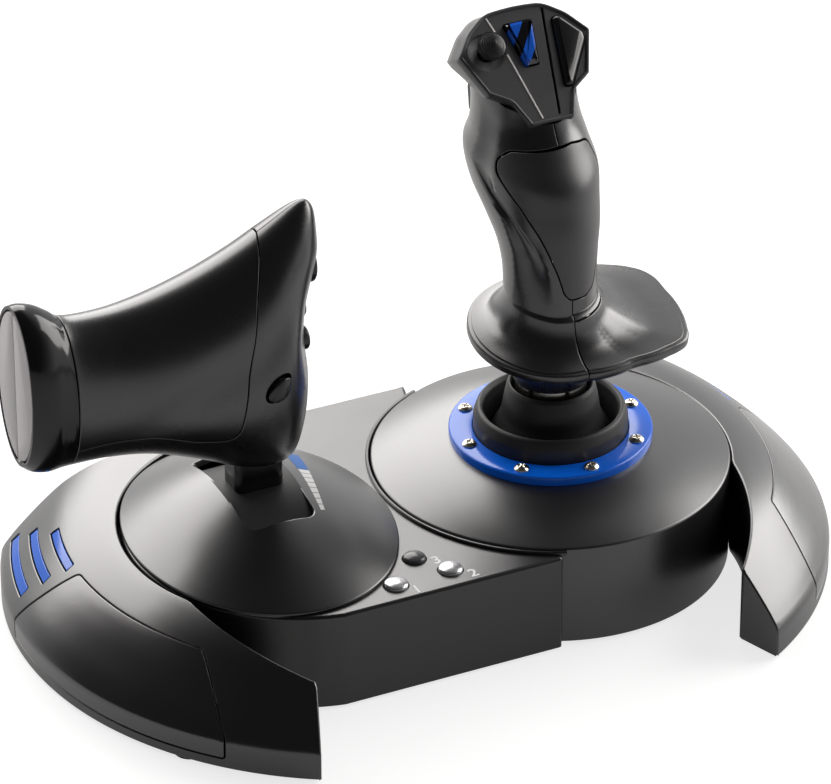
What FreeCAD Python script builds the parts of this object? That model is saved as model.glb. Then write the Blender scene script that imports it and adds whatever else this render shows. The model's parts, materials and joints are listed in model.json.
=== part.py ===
import FreeCAD, Part
import math
import os
import re

import Sketcher

# A flight joystick of two docked units on one desk: a throttle unit on the left, whose hand
# lever swings through a slotted dome, and a stick unit on the right, whose grip tilts on a
# two-axis gimbal and twists on its shaft.  Millimetres, +Z up, +X to the player's right and
# +Y away from the player.  The row's origin is on the desk under the middle of the outline.

doc = FreeCAD.newDocument("FlightJoystick")
sheet = doc.addObject("Spreadsheet::Sheet", "Sizes")
V = FreeCAD.Vector

SIZES = [
    # where the stick's axis stands in the row frame
    ("stick_x", 53.0), ("stick_y", 17.15),
    # the two unit housings
    ("plate_radius", 67.1), ("wall_radius", 67.4), ("plate_rim_z", 41.2), ("plate_top_z", 50.2),
    ("shell_wall", 2.5), ("desk_gap", 1.2), ("cover_thickness", 2.0), ("unit_pitch", 102.0),
    ("panel_z", 39.8), ("unit_gap", 0.3), ("front_y", -65.2), ("back_y", 69.7),
    ("panel_end_x", -27.0), ("unit_radius", 66.4),
    # the wings are turned about one centre, and mirrored on the middle of the two units
    ("wing_centre_x", -25.7), ("wing_centre_y", 8.7), ("wing_radius", 131.7),
    ("wing_seam_radius", 110.0), ("wing_wall", 2.4), ("cover_skin", 1.6), ("tip_x", 40.4),
    ("tip_y", -105.1), ("heel_x", 33.8), ("heel_y", -86.9), ("inlay_width", 3.3),
    ("inlay_depth", 1.2),
    # the ring, its screws and the rubber boot round the shaft
    ("ring_radius", 38.0), ("ring_top_z", 53.7), ("ring_bore", 29.2), ("ring_spigot", 36.1),
    ("screw_circle", 33.6), ("screw_head_radius", 2.8), ("screw_radius", 1.5),
    ("boot_radius", 28.9), ("boot_top_z", 63.0), ("cone_top_radius", 16.2),
    ("cone_top_z", 73.0), ("pivot_z", 43.0), ("frame_top_z", 46.9),
    # the gimbal and the shaft
    ("shaft_radius", 13.3), ("shaft_bore", 10.8), ("shaft_bottom_z", 22.0), ("shaft_top_z", 92.0),
    ("yoke_radius", 21.8), ("yoke_bore", 18.6), ("cradle_radius", 16.9), ("pin_radius", 2.2),
    ("running_gap", 0.05),
    # the grip, its flange and hand rest
    ("flange_radius", 31.0), ("flange_z", 97.2), ("flange_tilt", 8.5),
    ("rest_reach", 49.5), ("grip_wall", 2.4), ("boss_radius", 3.5), ("trigger_y", 38.0),
    ("trigger_z", 182.0), ("trigger_pin_radius", 1.2), ("trigger_half_width", 6.5),
    # the head and its face
    ("face_y", 35.8), ("face_z", 210.4), ("face_tilt", 40.9), ("face_thickness", 3.0),
    ("head_depth", 34.0), ("head_base_z", 185.0), ("head_base_tilt", 12.4),
    ("button_gap", 0.35), ("hat_x", -15.2), ("hat_down", 14.5), ("hat_radius", 5.5),
    ("hat_recess_radius", 7.2), ("hat_recess_depth", 1.0), ("hat_pivot_depth", 5.0),
    ("hat_pin_radius", 0.7), ("board_depth", 8.4), ("face_rim_width", 1.3), ("face_rim_height", 0.7),
    ("board_thickness", 1.6),
    # the throttle: dome, slot, lever and handle
    ("dome_x", -119.0), ("dome_half_x", 49.3), ("dome_half_y", 61.0), ("dome_rim_z", 41.0),
    ("slot_half_x", 11.0), ("slot_front_y", -23.0), ("slot_back_y", 31.0), ("dome_wall", 2.2),
    ("axle_y", 4.0), ("axle_z", 14.0), ("axle_radius", 3.0), ("arm_half_x", 9.6),
    ("arm_half_y", 7.0), ("arm_top_z", 84.0), ("shutter_radius", 41.4), ("hub_radius", 7.0),
    ("handle_wall", 2.4), ("end_seam_x", -194.0), ("thumb_end_x", -97.0), ("switch_board_x", -107.4),
    ("rocker_x", -159.0), ("rocker_y", 14.0), ("rocker_pin_radius", 1.5),
    ("key_x", -67.0), ("key_z", 9.0),
]

# stations of the grip up the shaft: height, forward shift, half width, half depth
GRIP = [
    (75, 0, 14.4, 14.6), (82, 0, 15.8, 16.0), (92, 0.5, 16.8, 17.4), (102, 1.4, 17.0, 18.2),
    (112, 2.0, 17.0, 18.4), (122, 2.8, 17.0, 19.4), (131, 5.0, 17.8, 22.2), (140, 9.6, 19.6, 27.2),
    (150, 16.4, 21.5, 32.5), (160, 19.4, 22.2, 33.2), (169, 21.0, 20.2, 27.6),
    (178, 24.0, 18.6, 24.4), (190, 27.0, 18.4, 23.0), (204, 29.0, 18.0, 21.0),
]
# stations of the throttle handle from its left end: place, height, half depth, half height
HANDLE = [
    (-212, 124.7, 15.2, 32.3), (-208.5, 124.2, 17.4, 34.4), (-203, 123.0, 18.2, 34.6),
    (-198, 120.5, 17.4, 31.8), (-194, 117.8, 17.0, 29.6), (-180, 114.6, 17.8, 29.2),
    (-163, 113.7, 20.0, 31.5), (-142, 115.4, 22.0, 37.0), (-126, 117.0, 22.5, 44.0),
    (-114, 119.6, 21.0, 48.4), (-104, 123.0, 15.8, 46.6), (-97, 129.0, 8.0, 37.0),
]
for prefix, table, words in (("grip", GRIP, ("rise", "forward", "across", "deep")),
                             ("handle", HANDLE, ("from_left", "rise", "deep", "high"))):
    for index, station in enumerate(table):
        for word, number in zip(words, station):
            SIZES.append(("%s_%s_%s" % (prefix, chr(97 + index), word), number))

for row, (alias, number) in enumerate(SIZES, start=1):
    sheet.set("A%d" % row, alias)
    sheet.set("B%d" % row, str(number))
    sheet.setAlias("B%d" % row, alias)
doc.recompute()
ALIASES = {alias for alias, _ in SIZES}


def size(alias):
    return float(sheet.get(alias))


def formula(text):
    # puts the sheet's name before each alias in an expression
    return re.sub(r"[a-z_]+", lambda m: "Sizes." + m[0] if m[0] in ALIASES else m[0], str(text))


def bind(obj, **texts):
    for name, text in texts.items():
        obj.setExpression(name, formula(text))


def place(obj, x="0", y="0", z="0", turn=None):
    # x and y are measured from the stick's axis
    if turn:
        axis, degrees = turn
        obj.Placement = FreeCAD.Placement(V(), FreeCAD.Rotation(V(*axis), degrees))
    obj.setExpression("Placement.Base.x", formula("stick_x + (%s)" % x))
    obj.setExpression("Placement.Base.y", formula("stick_y + (%s)" % y))
    obj.setExpression("Placement.Base.z", formula(z))
    return obj


def box(name, low, high):
    obj = doc.addObject("Part::Box", name)
    for prop, a, b in zip(("Length", "Width", "Height"), low, high):
        bind(obj, **{prop: "(%s) - (%s)" % (b, a)})
    return place(obj, *low)


def rod(name, radius, height, at, axis=None):
    # a cylinder from the point `at`, along +Z or along the given axis
    obj = doc.addObject("Part::Cylinder", name)
    bind(obj, Radius=radius, Height=height)
    turn = {"x": ((0, 1, 0), 90), "y": ((1, 0, 0), -90)}.get(axis)
    return place(obj, *at, turn=turn)


def tube(name, radius, bore, height, at, axis=None):
    outer = rod(name + "_outer", radius, height, at, axis)
    inner = rod(name + "_bore", bore, height, at, axis)
    return cut(name, outer, [inner])


def cut(name, base, tools):
    # takes one tool away after another
    for index, tool in enumerate(tools):
        last = index == len(tools) - 1
        obj = doc.addObject("Part::Cut", name if last else "%s_step_%d" % (name, index))
        obj.Base = base
        obj.Tool = tool
        base = obj
    return base


def fuse(name, parts):
    obj = doc.addObject("Part::MultiFuse", name)
    obj.Shapes = parts
    return obj


def common(name, parts):
    obj = doc.addObject("Part::MultiCommon", name)
    obj.Shapes = parts
    return obj


def group(name, parts):
    obj = doc.addObject("Part::Compound", name)
    obj.Links = parts
    return obj


def ellipse(name, long_half, short_half, at, facing):
    # facing "z" lies flat with its long half along Y; facing "x" stands with it along Z
    obj = doc.addObject("Part::Ellipse", name)
    bind(obj, MajorRadius=long_half, MinorRadius=short_half)
    turn = {"z": ((0, 0, 1), 90), "x": ((0, 1, 0), -90)}[facing]
    return place(obj, *at, turn=turn)


def loft(name, sections, ruled=False):
    obj = doc.addObject("Part::Loft", name)
    obj.Sections = sections
    obj.Solid = True
    obj.Ruled = ruled
    return obj


def sketch(body, name, plane, points):
    # a closed outline with each corner held by two bound distances
    obj = body.newObject("Sketcher::SketchObject", name)
    origin_plane = next(f for f in body.Origin.OriginFeatures if f.Role == plane)
    obj.AttachmentSupport = (origin_plane, [""])
    obj.MapMode = "FlatFace"
    count = len(points)
    start = [V(50 * math.cos(math.tau * i / count), 50 * math.sin(math.tau * i / count), 0)
             for i in range(count)]
    for i in range(count):
        obj.addGeometry(Part.LineSegment(start[i], start[(i + 1) % count]), False)
    for i in range(count):
        obj.addConstraint(Sketcher.Constraint("Coincident", i, 2, (i + 1) % count, 1))
    for i in range(count):
        for kind, number, text in zip(("DistanceX", "DistanceY"), start[i], points[i]):
            held = obj.addConstraint(Sketcher.Constraint(kind, -1, 1, i, 1, number))
            obj.setExpression("Constraints[%d]" % held, formula(text))
    return obj


def turned(name, points, at=("0", "0", "0"), turn=None):
    # a body turned about its own Z axis from (radius, height) corners
    body = doc.addObject("PartDesign::Body", name)
    place(body, *at, turn=turn)
    outline = sketch(body, name + "_profile", "XZ_Plane", points)
    turn = body.newObject("PartDesign::Revolution", name + "_turn")
    turn.Profile = outline
    turn.ReferenceAxis = (outline, ["V_Axis"])
    turn.Angle = 360
    return body


def padded(name, points, height, at, turn=None):
    # a body padded from an outline in its own XY plane
    body = doc.addObject("PartDesign::Body", name)
    place(body, *at, turn=turn)
    outline = sketch(body, name + "_outline", "XY_Plane", points)
    pad = body.newObject("PartDesign::Pad", name + "_pad")
    pad.Profile = outline
    bind(pad, Length=height)
    return body


def feature(name, shape, at=("0", "0", "0"), turn=None):
    obj = doc.addObject("Part::Feature", name)
    obj.Shape = shape
    return place(obj, *at, turn=turn)


NODES = {}


def node(obj, label):
    obj.Label = label
    NODES[label] = obj
    return obj


# ---------------------------------------------------------------- plan outlines and wings

def outline_face(start, steps):
    # steps are end points, or (point on the way, end point) for an arc
    edges, here = [], V(*start, 0)
    for step in steps:
        if isinstance(step[0], tuple):
            way, end = V(*step[0], 0), V(*step[1], 0)
            edges.append(Part.Arc(here, way, end).toShape())
        else:
            end = V(*step, 0)
            edges.append(Part.LineSegment(here, end).toShape())
        here = end
    return Part.Face(Part.Wire(edges))


def on_circle(centre, radius, degrees):
    angle = math.radians(degrees)
    return (centre[0] + radius * math.cos(angle), centre[1] + radius * math.sin(angle))


def spun(name, start, steps):
    # a (radius, height) outline of lines and arcs, turned about the stick's axis
    face = outline_face(start, steps)
    face.rotate(V(), V(1, 0, 0), 90)
    return feature(name, face.revolve(V(), V(0, 0, 1), 360))


def slab(face, low, high):
    return face.translated(V(0, 0, low)).extrude(V(0, 0, high - low))


WING_CENTRE = (size("wing_centre_x"), size("wing_centre_y"))
PLATE_EDGE = size("wall_radius") + size("unit_gap")
MIDDLE_X = -size("unit_pitch") / 2
BACK_Y = size("back_y")
SHOULDER_ANGLE = 75
UNDER = size("desk_gap")
FLOOR_TOP = UNDER + size("cover_thickness")


def mirrored(shape):
    return shape.mirror(V(MIDDLE_X, 0, 0), V(1, 0, 0))


def wing_plan():
    outer = size("wing_radius")
    tip, heel = (size("tip_x"), size("tip_y")), (size("heel_x"), size("heel_y"))
    back_angle = math.degrees(math.asin((BACK_Y - WING_CENTRE[1]) / outer))
    back_corner = on_circle(WING_CENTRE, outer, back_angle)
    neck = on_circle((0, 0), PLATE_EDGE, -30.5)
    inner_way = on_circle((-34.6, -24.1), 94.1, -24.5)
    shoulder = on_circle((0, 0), PLATE_EDGE, SHOULDER_ANGLE)
    return outline_face(back_corner, [
        (on_circle(WING_CENTRE, outer, -16), tip), heel, (inner_way, neck),
        (on_circle((0, 0), PLATE_EDGE, 22), shoulder), (shoulder[0], BACK_Y), back_corner])


# radius from the wing's centre and height of its top skin
WING_SECTION = [(40, 41.2), (84, 41.2), (92, 40.8), (99, 39.2), (105, 36.9), (110, 34.2),
                (116, 29.0), (122, 23.2), (127, 18.2), (130.4, 14.6), (131.7, 12.2)]


def wing_turned(inward):
    # the wing's outer skin as a solid of revolution, or one set inward by a wall
    rim = size("wing_radius") - inward
    top = [(min(r, rim), z - inward * 1.25) for r, z in WING_SECTION]
    low = UNDER - 5 if inward else UNDER
    corners = [V(0, 0, low), V(0, 0, top[0][1])] + [V(r, 0, z) for r, z in top[:-2]]
    corners += [V(rim, 0, top[-1][1]), V(rim, 0, low), V(0, 0, low)]
    profile = Part.Face(Part.makePolygon(corners))
    return profile.revolve(V(0, 0, 0), V(0, 0, 1), 360).translated(V(*WING_CENTRE, 0))


def wing_sector(inner, outer, from_angle, to_angle, from_skew=0.0, to_skew=0.0):
    # a plan band about the wing's centre; each skew turns that end's outer corner
    start = on_circle(WING_CENTRE, inner, from_angle)
    far_from, far_to = from_angle + from_skew, to_angle + to_skew
    return outline_face(start, [
        on_circle(WING_CENTRE, outer, far_from),
        (on_circle(WING_CENTRE, outer, (far_from + far_to) / 2),
         on_circle(WING_CENTRE, outer, far_to)),
        on_circle(WING_CENTRE, inner, to_angle),
        (on_circle(WING_CENTRE, inner, (from_angle + to_angle) / 2), start)])


def wing_pieces():
    # shell, glossy cover and inlays of the right wing
    plan = wing_plan()
    outer = wing_turned(0).common(slab(plan, 0, 60))
    wall = size("wing_wall")
    hollow = wing_turned(wall).common(slab(plan.makeOffset2D(-wall), -10, 60))
    seam, past_rim = size("wing_seam_radius"), 145
    cover_zone = slab(wing_sector(seam, past_rim, -35.5, 0.2, -13, 8.5), 5, 60)
    cover = outer.cut(wing_turned(size("cover_skin"))).common(cover_zone)
    half = size("inlay_width") / 2
    bands = [slab(wing_sector(ring - half, ring + half, first, last), 0, 60)
             for ring, first, last in ((111.5, 3.5, 17.0), (119.0, 6.0, 22.5), (126.2, 8.5, 26.0))]
    skin = outer.cut(wing_turned(size("inlay_depth")))
    inlays = [skin.common(band) for band in bands]
    shell = outer.cut(hollow).cut(cover)
    for inlay in inlays:
        shell = shell.cut(inlay)
    return shell, cover, Part.makeCompound(inlays)


wing_shell, wing_cover, wing_inlays = wing_pieces()

# ---------------------------------------------------------------- the throttle unit's body

UNIT_CENTRE = (-size("unit_pitch"), 0)


def throttle_plan():
    radius = size("unit_radius")
    end_x = size("panel_end_x")
    meet_y = math.sqrt(PLATE_EDGE ** 2 - end_x ** 2)
    front = size("front_y")
    turn_angle = math.degrees(math.asin(-front / radius))
    arc_start = on_circle(UNIT_CENTRE, radius, 180 + turn_angle)
    back_x = 2 * MIDDLE_X - on_circle((0, 0), PLATE_EDGE, SHOULDER_ANGLE)[0]
    arc_end = (back_x, math.sqrt(radius ** 2 - (back_x - UNIT_CENTRE[0]) ** 2))
    return outline_face((end_x, front), [
        arc_start, (on_circle(UNIT_CENTRE, radius, 170), arc_end),
        (back_x, BACK_Y), (end_x, BACK_Y), (end_x, meet_y),
        ((-PLATE_EDGE, 0), (end_x, -meet_y)), (end_x, front)])


def box_shape(low, high):
    return Part.makeBox(high[0] - low[0], high[1] - low[1], high[2] - low[2], V(*low))


def post(x, y, radius, low, high, direction=V(0, 0, 1)):
    return Part.makeCylinder(radius, high - low, V(x, y, low), direction)


SCREW = size("screw_radius")
BOSS = 3.6
LEFT_POSTS = [(-150, -38), (-150, 38), (-46, -56), (-46, 60)]
RIGHT_POSTS = [on_circle((0, 0), 56, angle) for angle in (35, 125, 215, 305)]
WING_POSTS = [(78, 10), (60, -62)]
PANEL_BUTTONS = {"left_panel_button": (-89.9, -55.6, 4.5), "right_panel_button": (-67.7, -54.7, 4.5),
                 "centre_panel_button": (-76.3, -42.4, 4.2)}
BUTTON_GAP = size("button_gap")
PANEL_Z = size("panel_z")
DOME = (size("dome_x"), 0)
SHELL_WALL = size("shell_wall")

# the key that locks the two units together crosses both walls, and two screws hold it
key_low = (size("key_x") - 8, -14, size("key_z"))
key_high = (size("key_x") + 12, 14, size("key_z") + 8)
key_shape = box_shape(key_low, key_high)

left_plan = throttle_plan()
left_body = slab(left_plan, UNDER, PANEL_Z)
left_hollow = slab(left_plan.makeOffset2D(-SHELL_WALL), -10, PANEL_Z - SHELL_WALL)
left_floor = slab(left_plan.makeOffset2D(-1.2), UNDER, FLOOR_TOP).fuse(
    mirrored(slab(wing_plan().makeOffset2D(-1.2), UNDER, FLOOR_TOP)))
right_disc = Part.Face(Part.Wire(Part.makeCircle(size("wall_radius") - 1.2)))
right_floor = slab(right_disc, UNDER, FLOOR_TOP).fuse(
    slab(wing_plan().makeOffset2D(-1.2), UNDER, FLOOR_TOP))
bridge = box_shape((40, -20, UNDER), (85, 30, FLOOR_TOP))
right_floor = right_floor.fuse(bridge).removeSplitter()
left_floor = left_floor.fuse(mirrored(bridge)).removeSplitter()
BOARD_Z = 8.0
STICK_BOARD = ((24, -20), (54, 20))
THROTTLE_BOARD = ((-104, 24), (-76, 56))


def with_standoffs(floor, board):
    # a short stud under each corner of a circuit board
    (x0, y0), (x1, y1) = board
    for x in (x0 + 3, x1 - 3):
        for y in (y0 + 3, y1 - 3):
            floor = floor.fuse(post(x, y, 2.4, FLOOR_TOP, BOARD_Z))
    return floor


right_floor = with_standoffs(right_floor, STICK_BOARD)
left_floor = with_standoffs(left_floor, THROTTLE_BOARD)


def case_screw(x, y):
    head = post(x, y, 2.6, UNDER, UNDER + 1.2)
    return head.fuse(post(x, y, SCREW, UNDER + 1.2, 14))


def foot(x, y):
    return post(x, y, 6.0, 0, UNDER)


wing_posts_left = [(2 * MIDDLE_X - x, y) for x, y in WING_POSTS]
screws = [case_screw(*at) for at in LEFT_POSTS + wing_posts_left + RIGHT_POSTS + WING_POSTS]
case_screws = Part.makeCompound(screws)
FOOT_PLACES = [(86, 52), (74, -66), (0, -50), (0, 50)]
feet = Part.makeCompound([foot(x, y) for x, y in FOOT_PLACES]
                         + [foot(2 * MIDDLE_X - x, y) for x, y in FOOT_PLACES])


def with_posts(shell, places, top, room):
    # screw posts stand on the floor and join the shell's top
    for x, y in places:
        shell = shell.fuse(post(x, y, BOSS, FLOOR_TOP, top).common(room))
    for x, y in places:
        shell = shell.cut(case_screw(x, y))
    return shell


left_shell = left_body.cut(left_hollow)
dome_hole = Part.Ellipse(V(0, 0, 0), size("dome_half_y") - 3, size("dome_half_x") - 3)
dome_hole_face = Part.Face(Part.Wire(dome_hole.toShape()))
dome_hole_face.rotate(V(), V(0, 0, 1), 90)
dome_hole_face.translate(V(*DOME, 0))
left_shell = left_shell.cut(slab(dome_hole_face, 20, 60))
left_shell = with_posts(left_shell, LEFT_POSTS[2:], PANEL_Z - 1, left_body)
for x, y, radius in PANEL_BUTTONS.values():
    left_shell = left_shell.cut(post(x, y, radius + BUTTON_GAP, 30, 45))
gland_at, gland_radius = V(-60, BACK_Y - 4.5, 15), 5.0
gland_hole = Part.makeCylinder(gland_radius, 10, gland_at, V(0, 1, 0))
left_shell = left_shell.cut(left_floor).cut(key_shape).cut(gland_hole)
node(feature("left_base_shell", left_shell), "left_base_shell")
for label, (x, y, radius) in PANEL_BUTTONS.items():
    button = post(x, y, radius, 34, 40.6).fuse(post(x, y, radius + 1.2, 33, 35))
    crown = Part.makeSphere(12.0, V(x, y, 29.9)).common(post(x, y, radius, 40, 45))
    node(feature(label, button.fuse(crown)), label)

left_wing = mirrored(wing_shell)
right_wing = with_posts(wing_shell, WING_POSTS, 42, wing_turned(0)).cut(right_floor)
left_wing = with_posts(left_wing, wing_posts_left, 42, mirrored(wing_turned(0))).cut(left_floor)
node(feature("right_wing_shell", right_wing), "right_wing_shell")
node(feature("left_wing_shell", left_wing), "left_wing_shell")
node(feature("right_wing_cover", wing_cover), "right_wing_cover")
node(feature("left_wing_cover", mirrored(wing_cover)), "left_wing_cover")
node(feature("wing_inlays", Part.makeCompound([wing_inlays, mirrored(wing_inlays)])), "wing_inlays")
node(feature("feet", feet), "feet")
node(feature("case_screws", case_screws), "case_screws")
node(feature("left_bottom_cover", left_floor.cut(case_screws)), "left_bottom_cover")
node(feature("right_bottom_cover", right_floor.cut(case_screws)), "right_bottom_cover")
node(feature("dock_key", key_shape), "dock_key")
gland = Part.makeCylinder(gland_radius, 5.6, gland_at, V(0, 1, 0)).fuse(
    Part.makeCylinder(gland_radius + 1.6, 1.9, gland_at, V(0, 1, 0)))
gland = gland.cut(Part.makeCylinder(2.2, 12, gland_at - V(0, 3, 0), V(0, 1, 0)))
node(feature("cable_gland", gland), "cable_gland")

# ---------------------------------------------------------------- the stick unit's body

right_shell = turned("right_shell_turned", [
    ("ring_spigot + 0.2", "plate_top_z"), ("ring_radius + 0.5", "plate_top_z"),
    ("plate_radius", "plate_rim_z"), ("wall_radius", "desk_gap"),
    ("wall_radius - shell_wall", "desk_gap"),
    ("plate_radius - shell_wall", "plate_rim_z - shell_wall"),
    ("ring_radius + 0.5", "plate_top_z - shell_wall"),
    ("ring_spigot + 0.2", "plate_top_z - shell_wall")])
right_posts = [post(x, y, BOSS, FLOOR_TOP, 43) for x, y in RIGHT_POSTS]
right_tools = feature("right_shell_openings", Part.makeCompound(
    [right_floor, key_shape] + [case_screw(*at) for at in RIGHT_POSTS]))
right_added = feature("right_shell_posts", Part.makeCompound(right_posts))
node(cut("right_base_shell", fuse("right_shell_whole", [right_shell, right_added]), [right_tools]),
     "right_base_shell")

ring = turned("ring_turned", [
    ("ring_bore", "ring_top_z"), ("ring_radius - 0.6", "ring_top_z"),
    ("ring_radius", "ring_top_z - 0.6"), ("ring_radius", "plate_top_z"),
    ("ring_spigot", "plate_top_z"), ("ring_spigot", "frame_top_z"), ("31.8", "frame_top_z"),
    ("31.8", "48.6"), ("ring_bore", "48.6")])


def ring_places():
    for index in range(8):
        yield index, "screw_circle * cos(%d deg)" % (45 * index), \
            "screw_circle * sin(%d deg)" % (45 * index)


ring_holes = [rod("ring_hole_%d" % i, "screw_radius", "20", (x, y, "40"))
              for i, x, y in ring_places()]
ring_hole_group = group("ring_holes", ring_holes)
node(cut("pivot_ring", ring, [ring_hole_group]), "pivot_ring")
ring_screws = [fuse("ring_screw_%d" % i, [
    rod("ring_screw_shank_%d" % i, "screw_radius", "12.2", (x, y, "ring_top_z - 12.2")),
    rod("ring_screw_head_%d" % i, "screw_head_radius", "1.5", (x, y, "ring_top_z"))])
    for i, x, y in ring_places()]
node(group("pivot_ring_screws", ring_screws), "pivot_ring_screws")

BOOT, FRAME_TOP = size("boot_radius"), size("frame_top_z")
node(spun("boot_collar", (31.6, FRAME_TOP), [
    (31.6, 48.4), (BOOT, 48.4), (BOOT, 59.2), ((28.1, 61.6), (25.9, size("boot_top_z"))),
    ((25.1, 62.4), (24.8, 60.4)), (24.8, 50), (25.4, FRAME_TOP), (31.6, FRAME_TOP)]), "boot_collar")

SLEEVE, CONE_TOP = size("shaft_radius"), size("cone_top_z")
node(spun("boot_cone", (SLEEVE, 60), [
    (SLEEVE, 64), (14.8, 66), (14.8, CONE_TOP), (size("cone_top_radius"), CONE_TOP),
    ((17.3, 67.2), (18.3, 61.5)), ((19.4, 57.2), (22.44, 52.07)), (20.75, 51.4),
    ((19.0, 54.8), (17.0, 57.4)), (SLEEVE, 60)]), "boot_cone")

frame_turned = turned("frame_turned", [
    ("27", "44.6"), ("31.6", "44.6"), ("31.6", "36"), ("36", "36"), ("36", "44.6"), ("40", "44.6"),
    ("40", "frame_top_z"), ("27", "frame_top_z")])
ears = [box("frame_ear_right", ("25.2", "-5", "38"), ("33", "5", "44.8")),
        box("frame_ear_left", ("-33", "-5", "38"), ("-25.2", "5", "44.8"))]
pitch_bore = rod("frame_pitch_bore", "pin_radius + running_gap", "80", ("-40", "0", "pivot_z"), "x")
node(cut("gimbal_frame", fuse("frame_whole", [frame_turned] + ears),
         [group("ring_hole_copy", ring_holes), pitch_bore]), "gimbal_frame")

# ---------------------------------------------------------------- gimbal and shaft

yoke = tube("yoke_ring", "yoke_radius", "yoke_bore", "6", ("0", "0", "pivot_z - 3"))
yoke_pins = [rod("yoke_pin_right", "pin_radius", "10", ("21", "0", "pivot_z"), "x"),
             rod("yoke_pin_left", "pin_radius", "10", ("-31", "0", "pivot_z"), "x")]
roll_bore = rod("yoke_roll_bore", "pin_radius + running_gap", "60", ("0", "-30", "pivot_z"), "y")
node(cut("pitch_yoke", fuse("yoke_whole", [yoke] + yoke_pins), [roll_bore]), "pitch_yoke")

cradle = tube("cradle_ring", "cradle_radius", "shaft_radius", "10", ("0", "0", "pivot_z - 5"))
cradle_pins = [rod("cradle_pin_front", "pin_radius", "5.4", ("0", "-21.6", "pivot_z"), "y"),
               rod("cradle_pin_back", "pin_radius", "5.4", ("0", "16.2", "pivot_z"), "y")]
node(fuse("roll_cradle", [cradle] + cradle_pins), "roll_cradle")

shaft = tube("shaft_stem", "shaft_radius", "shaft_bore", "shaft_top_z - shaft_bottom_z",
             ("0", "0", "shaft_bottom_z"))
spring_seat = tube("shaft_seat", "16.6", "shaft_bore", "2", ("0", "0", "shaft_bottom_z"))
GROOVE_DEPTH, GROOVE_HALF = 1.2, 1.0
groove = box_shape((SLEEVE - GROOVE_DEPTH, -GROOVE_HALF, 68), (SLEEVE + 2, GROOVE_HALF, 74.6))
shaft_grooves = feature("shaft_grooves", Part.makeCompound([
    groove.rotated(V(), V(0, 0, 1), 60 * step + 30) for step in range(6)]))
node(cut("shaft_tube", fuse("shaft_whole", [shaft, spring_seat]), [shaft_grooves]), "shaft_tube")
node(tube("centring_spring", "16", "12.6", "shaft_bottom_z - 3.2", ("0", "0", "3.2")),
     "centring_spring")

for label, (low, high) in (("stick_board", STICK_BOARD), ("throttle_board", THROTTLE_BOARD)):
    node(box(label, low + (BOARD_Z,), high + ("%g + board_thickness" % BOARD_Z,)), label)
node(box("ballast_plate", ("-50", "-26", "3.2"), ("-24", "26", "8.2")), "ballast_plate")

# ---------------------------------------------------------------- the grip


def stations(prefix, table, facing, less, names):
    # the table's ellipses, each set inward by a wall
    made = []
    for index in range(len(table)):
        key = "%s_%s_" % (prefix, chr(97 + index))
        long_half, short_half, at = names(key)
        made.append(ellipse("%s_station_%s_%d" % (prefix, less or "outer", index),
                            long_half + (" - " + less if less else ""),
                            short_half + (" - " + less if less else ""), at, facing))
    return made


def grip_names(key):
    return key + "deep", key + "across", ("0", key + "forward", key + "rise")


def handle_names(key):
    return key + "high", key + "deep", (key + "from_left", "0", key + "rise")


def grip_core(less=""):
    return loft("grip_core_" + (less or "outer"), stations("grip", GRIP, "z", less, grip_names))


TILT = ((1, 0, 0), size("flange_tilt"))
FACE_TURN = ((1, 0, 0), size("face_tilt"))


def on_face(x, y, z):
    # a point given on the head's face: x across, y up the face, z out of it
    return ("%s" % x,
            "face_y + (%s) * cos(face_tilt * 1 deg) - (%s) * sin(face_tilt * 1 deg)" % (y, z),
            "face_z + (%s) * sin(face_tilt * 1 deg) + (%s) * cos(face_tilt * 1 deg)" % (y, z))


def face_rod(name, radius, length, x, y, z, along="z"):
    # a cylinder out of the face, or across it along its own x or y
    obj = doc.addObject("Part::Cylinder", name)
    bind(obj, Radius=radius, Height=length)
    tilt = size("face_tilt")
    turn = {"z": FACE_TURN, "x": ((0, 1, 0), 90), "y": ((1, 0, 0), tilt - 90)}[along]
    return place(obj, *on_face(x, y, z), turn=turn)


def face_box(name, low, extent):
    obj = doc.addObject("Part::Box", name)
    bind(obj, Length=extent[0], Width=extent[1], Height=extent[2])
    return place(obj, *on_face(*low), turn=FACE_TURN)


def face_pad(name, points, length, z):
    return padded(name, points, length, on_face("0", "0", z), turn=FACE_TURN)


def grown(points, gap):
    # moves each corner of an outline away from its middle by the gap
    middle_x = sum(x for x, _ in points) / len(points)
    middle_y = sum(y for _, y in points) / len(points)
    moved = []
    for x, y in points:
        away = math.hypot(x - middle_x, y - middle_y)
        reach = 1 + gap * 1.3 / away
        moved.append((middle_x + (x - middle_x) * reach, middle_y + (y - middle_y) * reach))
    return moved


FACE_HALF = [(11.6, 0.0), (19.6, -5.8), (26.4, -14.2), (20.2, -30.4), (12.7, -35.2), (8.6, -45.6)]
FACE = [(0, 0.8)] + FACE_HALF + [(-x, y) for x, y in reversed(FACE_HALF)]
STRIPE = [(-6.1, -5.4), (6.1, -5.4), (2.9, -23.3), (-2.9, -23.3)]
TEARDROP = [(13.7, -6.6), (16.4, -6.6), (23.4, -14.6), (23.2, -17.6), (11.6, -33.2), (9.5, -33.4)]

BUTTON_LIP = 0.6

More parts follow.
